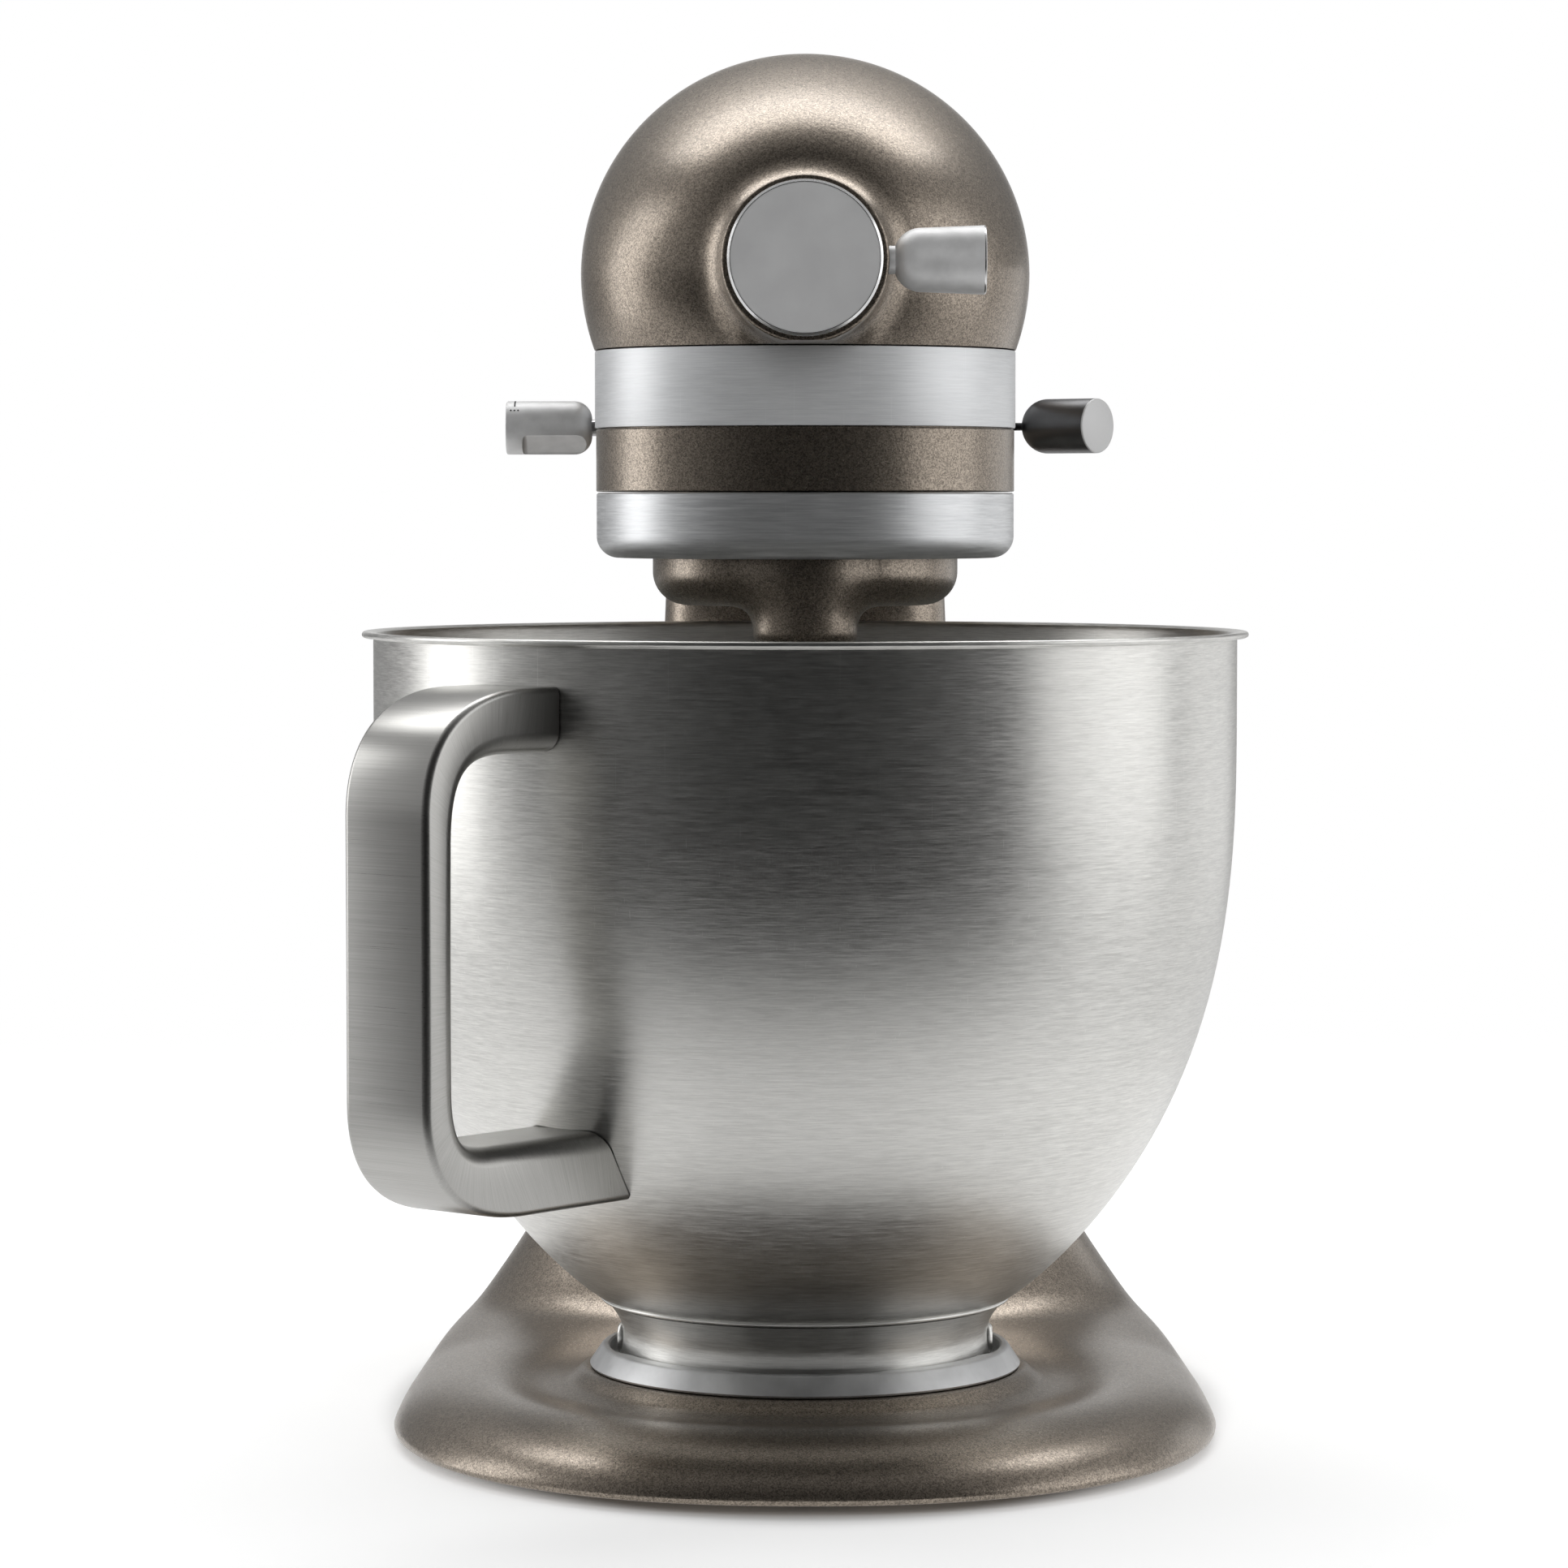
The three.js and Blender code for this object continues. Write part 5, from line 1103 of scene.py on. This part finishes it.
fillet_r = boss_radius + boss_fillet
fillet_y = -math.sqrt((head_radius + boss_fillet) ** 2 - fillet_r ** 2)
touch = math.degrees(math.atan2(-fillet_y, fillet_r))
inner_radius = head_radius - shell_wall
socket_radius = bore_radius + socket_wall
socket_start = -math.sqrt(inner_radius ** 2 - socket_radius ** 2)

profile = [(bore_radius, boss_front + 0.0004), (bore_radius + 0.0004, boss_front)]
profile += arc(boss_radius - 0.001, boss_front + 0.001, 0.001, -90, 0, 5)
profile += arc(fillet_r, fillet_y, boss_fillet, 180, 180 - touch, 14)
profile += arc(0, 0, head_radius, -touch, 0, 30)[1:]
profile += [(head_reach(y), y) for y in (rear_seam * i / 36 for i in range(1, 36))]
profile += about(
    head_reach(rear_seam), rear_seam, (0, -0.0003), (-0.0003, 0), (-shell_wall, 0))
profile += [(head_reach(y) - shell_wall, y) for y in (rear_seam * i / 12 for i in range(11, 0, -1))]
wide = math.degrees(math.atan2(socket_start, socket_radius))
profile += arc(0, 0, inner_radius, 0, wide, 10)
profile += [(socket_radius, bore_end), (bore_radius, bore_end)]
bm = turned(profile, (0, 1, 0), (0, bowl_y, head_z), 224, closed=True)
for vert in bm.verts:
    x, y, z = vert.co.x, vert.co.y - bowl_y, vert.co.z - head_z
    outward = step(math.hypot(x, z), 0.0272, head_radius)
    forward = 1 - step(y, 0, 0.110)
    vert.co.y += crown_lean * outward * forward * max(z, 0) / head_radius
cut_at_band(bm)
holes = bmesh.new()
rod(holes, (0.011, thumb_y, head_z), (0.025, thumb_y, head_z), 0.00375)
rod(holes, (-0.0571, brush_y, head_z), (0.0571, brush_y, head_z), 0.0093, 64)
bm = carved(bm, holes)
fitted("dome_casting", bm, enamel, "head", ["upper_housing"], crease=0.6)

# ---- Rear cover ----
# The rounded end cap over the motor's governor, cast and sprayed with the dome and seated on it
# with a hairline joint.

cap_start = rear_seam + 2 * seam
profile = [(0, head_rear)]
for i in range(1, 29):
    y = cap_start + (head_rear - cap_start) * math.cos(math.pi / 2 * i / 28)
    profile.append((head_reach(y), y))
shrink = 1 - shell_wall / head_reach(rear_seam)
for i in range(12, 0, -1):
    y = cap_start + (head_rear - shell_wall - cap_start) * math.cos(math.pi / 2 * i / 12)
    profile.append((head_reach(y) * shrink, y))
profile.append((0, head_rear - shell_wall))
bm = turned(profile, (0, 1, 0), (0, bowl_y, head_z), 192)
cut_at_band(bm)
fitted("tail_casting", bm, enamel, "head", ["rear_cover"], crease=0.6)

# ---- Hub cover ----
# A turned aluminium plug that closes the attachment hub: a fine-blasted grey face with a bright
# chamfer round it, and a milled edge for the fingers.

disc_radius = cover_high.x
disc_front = cover_low.y
plug_radius = 0.01545
mill_count = 96

disc_grey = grained(
    "blasted_grey", grey(0.32), 0.0, 0.55, (0.5, 0.62), (5200.0, 2.0), 4e-6,
    (90.0, 3.0), ((0.3, (0.302, 0.302, 0.303)), (0.7, (0.340, 0.340, 0.341))))
bright = grained("bright_turned", grey(0.82), 1.0, 0.22, (0.14, 0.30), (2600.0, 3.0), 3e-6)

cover_rows = [(0, 0), (0.006, 0), (0.012, 0)]
cover_rows += about(
    disc_radius, 0, (-0.00095, 0), (-0.0009, 0.00012), (-0.0008, 0.00012), (-0.00075, 0),
    (-0.0006, 0), (-0.00005, 0.00055), (0, 0.0008), (0, 0.0011), (0, 0.0045), (0, 0.0049),
    (-0.0004, 0.0056))
cover_rows += about(
    plug_radius, 0, (0, 0.0056), (0, 0.0202), (-0.0004, 0.0206), (-0.0018, 0.0206),
    (-0.0018, 0.0066))
cover_rows += [(0, 0.0066)]


def cover_point(across, along):
    """The plug's turned section, with notches milled in its edge."""
    row = round(along * (len(cover_rows) - 1))
    radius, back = cover_rows[row]
    turn = 2 * math.pi * across
    if 9 < row < 13:
        radius -= 0.0003 * (0.5 + 0.5 * math.cos(mill_count * turn)) ** 2
    return Vector((radius * math.sin(turn), disc_front + back, head_z + radius * math.cos(turn)))


def refinish(piece, finish, chosen):
    """Gives the piece a second finish where chosen says so of a face's centre."""
    piece.data.materials.append(finish)
    for face in piece.data.polygons:
        if chosen(face.center):
            face.material_index = 1


disc = fitted(
    "hub_disc", sheet(mill_count * 8, len(cover_rows) - 1, cover_point),
    disc_grey, "hub_cover", ["hub_cover"], crease=0.5)
refinish(disc, bright, lambda at: math.hypot(at.x, at.z - head_z) > disc_radius - 0.00078)

# ---- Thumb-screw ----
# Turned aluminium, blasted to a satin skin: a bullet grip on a short neck, screwed through the
# boss to hold an attachment in the hub.

thumb_radius = 0.0083
thumb_neck = 0.0034
thumb_length = 0.0223

satin = grained(
    "blasted_satin", grey(0.65), 0.62, 0.50, (0.44, 0.58), (3600.0, 2.0), 6e-6,
    (240.0, 3.0), ((0.3, grey(0.60)), (0.7, grey(0.70))))


def grip(radius, length, start, hole, roundness, flare=0.0, edge=0.0005):
    """Profile of a bullet grip: round at the neck end, with a small bevel at the flat end."""
    bend = roundness * radius
    middle_r = radius - flare - bend
    first = -math.degrees(math.acos(min(max((hole - middle_r) / bend, 0), 1)))
    points = arc(middle_r, start + bend, bend, first, 0, 14)
    points += [(radius, start + length - edge), (radius - 0.3 * edge, start + length - 0.3 * edge)]
    points += [(radius - edge, start + length)]
    return points


thumb_start = boss_radius + 0.001
profile = [(0, bore_radius), (thumb_neck, bore_radius), (thumb_neck, boss_radius + 0.0001)]
profile += grip(thumb_radius, thumb_length, thumb_start, thumb_neck, 0.8, 0.0006)
profile += about(0, thumb_start, (0.0056, thumb_length), (0.0054, 0.0221), (0, 0.0221))
bm = turned(profile, (1, 0, 0), (0, thumb_y, head_z), 96)
screw = fitted("thumb_grip", bm, satin, "thumb_screw", ["thumb_screw"], crease=0.6)
refinish(screw, bright, lambda at: thumb_start + 0.0222 > at.x > thumb_start + 0.0217)

# ---- Speed knob ----
# A dark anodised grip on the speed lever; its end was faced off after anodising and shows bare.

speed_rest = math.radians(-39)
knob_radius = 0.0073
knob_length = 0.0234
speed_reach = 0.0568
rod_seat = 0.0123

dark = grained(
    "dark_anodised", (0.14, 0.14, 0.142), 0.95, 0.34, (0.30, 0.42), (3600.0, 2.0), 6e-6,
    (200.0, 3.0), ((0, (0.125, 0.125, 0.127)), (1, (0.155, 0.155, 0.158))))
faced = grained("faced_end", grey(0.56), 0.5, 0.5, (0.44, 0.58), (2400.0, 2.0), 5e-6)

speed_way = Vector((math.cos(speed_rest), math.sin(speed_rest), 0))
start = speed_reach - knob_length
profile = [(0, start + rod_seat), (0.0013, start + rod_seat)]
profile += grip(knob_radius, knob_length, start, 0.0013, 0.93)
profile += [(0, speed_reach)]
knob = fitted(
    "speed_grip", turned(profile, speed_way, speed_pivot, 96),
    dark, "speed_lever", ["speed_knob"], crease=0.6)
refinish(knob, faced, lambda at: (at - speed_pivot).dot(speed_way) > speed_reach - 0.0004)

# ---- Lock knob ----
# The same grip in blasted bare aluminium on the head lock's lever. A finger flat is milled along
# its lower front, and a tick over three dots is printed by its outer end.

lock_reach = 0.0418
lock_end = lock_pivot.x - lock_reach
profile = [(0, lock_reach - knob_length + rod_seat), (0.00255, lock_reach - knob_length + rod_seat)]
profile += grip(knob_radius, knob_length, lock_reach - knob_length, 0.00255, 0.66)
profile += [(0, lock_reach)]
bm = turned(profile, (-1, 0, 0), lock_pivot, 96)
flat_depth = 0.0059
tool = block((lock_end + 0.0045, -0.012, -0.0046), (lock_end + 0.04, -flat_depth, 0.0046))
bmesh.ops.bevel(
    tool, geom=tool.edges[:], offset=0.0014, segments=6, profile=0.5, affect="EDGES", material=-1)
flat_turn = Matrix.Rotation(math.radians(50), 3, "X")
bmesh.ops.rotate(tool, verts=tool.verts, cent=(0, 0, 0), matrix=flat_turn)
bmesh.ops.translate(tool, verts=tool.verts, vec=(0, lock_pivot.y, lock_pivot.z))
bm = carved(bm, tool)
fitted("lock_grip", bm, satin, "lock_lever", ["lock_knob"], crease=0.5)

ink = grained("printed_ink", grey(0.012), 0.0, 0.5, (0.4, 0.6), (6000.0, 2.0), None)
bm = sheet(2, 16, lambda across, along: Vector((
    lock_end + 0.0022 + 0.00045 * across,
    lock_pivot.y - (knob_radius + 0.00003) * math.cos(math.radians(52 + 44 * along)),
    lock_pivot.z + (knob_radius + 0.00003) * math.sin(math.radians(52 + 44 * along)))))
bmesh.ops.solidify(bm, geom=bm.faces[:], thickness=0.00006)
for i in range(3):
    out = Vector((0, -math.cos(math.radians(40)), math.sin(math.radians(40))))
    at = Vector((lock_end + 0.0014 + 0.001 * i, lock_pivot.y, lock_pivot.z))
    rod(bm, at + out * (knob_radius - 0.0001), at + out * (knob_radius + 0.00004), 0.00027, 24)
fitted("lock_marks", bm, ink, "lock_lever", [])

# ---- Levers and lock bolt ----
# Steel rods and hubs on posts inside the head; the speed plate is blackened, the lock's rod and
# its bolt are bright. They keep the shapes that the mechanism gives them.

blackened = grained(
    "blackened_steel", (0.03, 0.03, 0.032), 0.7, 0.45, (0.38, 0.55), (1900.0, 3.0), 8e-6)
gear_steel = grained(
    "oiled_gear_steel", (0.30, 0.29, 0.275), 1.0, 0.33, (0.18, 0.45), (2400.0, 2.0), 1e-5,
    (160.0, 4.0), ((0.35, (0.20, 0.185, 0.165)), (0.65, (0.36, 0.355, 0.345))), patchy=True)

for node, finish in (
    ("speed_lever", blackened), ("lock_lever", steel), ("lock_pin", steel),
    ("ring_gear", gear_steel), ("beater_pinion", gear_steel),
    ("centre_shaft", gear_steel), ("hub_drive", gear_steel),
):
    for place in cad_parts[node].material_slots:
        place.material = finish

# ---- Planetary carrier ----
# The cast arm that swings the beater round the bowl, blasted and sprayed like the head: a shallow
# drum with the beater's boss growing out of its front in soft fillets.

beater_low, beater_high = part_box("beater_shaft")
carrier_low, carrier_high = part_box("planetary_carrier")
beater_y = (beater_low.y + beater_high.y) / 2
drum_radius = 0.0389
drum_low = 0.214
drum_round = 0.0085
beater_boss_radius = 0.013
beater_boss_round = 0.0028
fillet_softness = 0.0066


def rounded_bar(at, y, radius, low, soft, high):
    """Distance from a point to an upright bar with a rounded lower edge and a crisp top."""
    aside = math.hypot(at.x, at.y - y) - (radius - soft)
    below = low + soft - at.z
    distance = math.hypot(max(aside, 0), max(below, 0)) + min(max(aside, below), 0) - soft
    return max(distance, at.z - high)


def carrier_distance(at):
    """Distance to the carrier: drum and boss flow together in fillets."""
    top = carrier_high.z
    drum = rounded_bar(at, bowl_y, drum_radius, drum_low, drum_round, top)
    boss = rounded_bar(at, beater_y, beater_boss_radius, carrier_low.z, beater_boss_round, top)
    near = max(fillet_softness - abs(drum - boss), 0) / fillet_softness
    return max(min(drum, boss) - near * near * fillet_softness / 4, at.z - top)


heart = Vector((0, beater_y + 0.009, 0.222))
bm = bmesh.new()
bmesh.ops.create_uvsphere(bm, u_segments=256, v_segments=140, radius=1)
for vert in bm.verts:
    way = vert.co.copy()
    vert.co = heart + way * farthest(
        lambda reach: carrier_distance(heart + way * reach) < 0, 0.005, 0.075, 20)
shaft_hole = rod(bmesh.new(), (0, beater_y, 0.2), (0, beater_y, 0.24), 0.0067)
bm = carved(bm, shaft_hole)
fitted("carrier_casting", bm, enamel, "planetary", ["planetary_carrier"], crease=0.6)

# ---- Beater shaft and cross pin ----
# A ground shaft through the boss; a hardened pin through its lower end catches the slot in a
# beater's socket.

shaft_radius = beater_high.x
pin_z = beater_low.z + 0.009
profile = [(0, beater_low.z)]
profile += about(
    shaft_radius, beater_low.z, (-0.002, 0), (-0.0004, 0.0016), (0, 0.0022), (0, 0.0185),
    (-0.0005, 0.0189), (-0.0005, 0.0205), (0, 0.0209))
profile += [(shaft_radius, beater_high.z), (0, beater_high.z)]
bm = turned(profile, (0, 0, 1), (0, beater_y, 0), 96)
pin_hole = rod(bmesh.new(), (-0.01, beater_y, pin_z), (0.01, beater_y, pin_z), 0.0025)
bm = carved(bm, pin_hole)
fitted("beater_spindle", bm, steel, "beater", ["beater_shaft"], crease=0.5)

pin_low, pin_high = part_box("beater_cross_pin")
profile = pin_profile((pin_high.z - pin_low.z) / 2, -pin_high.x, pin_high.x, 0.0005)
bm = turned(profile, (1, 0, 0), (0, beater_y, pin_z), 48)
fitted("cross_pin", bm, steel, "beater", ["beater_cross_pin"], crease=0.5)

# ---- Motor brush caps ----
# Moulded black screw caps flush in both flanks, slotted for a coin, over the motor's brushes.

moulded = grained("moulded_black", grey(0.02), 0.0, 0.42, (0.36, 0.52), (2100.0, 3.0), 1.4e-5)

for side, node in ((-1, "brush_cap_left"), (1, "brush_cap_right")):
    cap_low, cap_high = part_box(node)
    outer = cap_high.x if side > 0 else -cap_low.x
    inner = cap_low.x if side > 0 else -cap_high.x
    profile = [(0, inner), (0.009, inner), (0.009, outer - 0.0008)]
    profile += arc(0.0082, outer - 0.0008, 0.0008, 0, 90, 5)
    profile += [(0.0070, outer), (0.0068, outer - 0.0002), (0, outer - 0.0002)]
    bm = turned(profile, (side, 0, 0), (0, brush_y, head_z), 72)
    inward, outward = sorted((side * (outer - 0.0014), side * (outer + 0.001)))
    slot = block(
        (inward, brush_y - 0.006, head_z - 0.001), (outward, brush_y + 0.006, head_z + 0.001))
    bm = carved(bm, slot)
    fitted(node + "_moulded", bm, moulded, "head", [node], crease=0.5)

# ---- Cord gland ----
# A moulded bush in the rear floor of the head, where the mains lead would leave; it is empty.

gland_low, gland_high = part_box("cord_gland")
gland_radius, gland_neck, gland_bore = 0.0075, 0.006, 0.0035
profile = about(gland_bore, gland_low.z, (0, 0.0005), (0.0005, 0))
profile += arc(gland_radius - 0.001, gland_low.z + 0.001, 0.001, -90, 0, 6)
profile += [(gland_radius, housing_low - 0.0008), (gland_radius - 0.0005, housing_low - seam)]
profile += [(gland_neck, housing_low - seam)]
profile += about(gland_neck, gland_high.z, (0, -0.0003), (-0.0003, 0))
profile += [(gland_bore, gland_high.z)]
bm = turned(profile, (0, 0, 1), (0, gland_y, 0), 64, closed=True)
fitted("gland_bush", bm, moulded, "head", ["cord_gland"], crease=0.5)
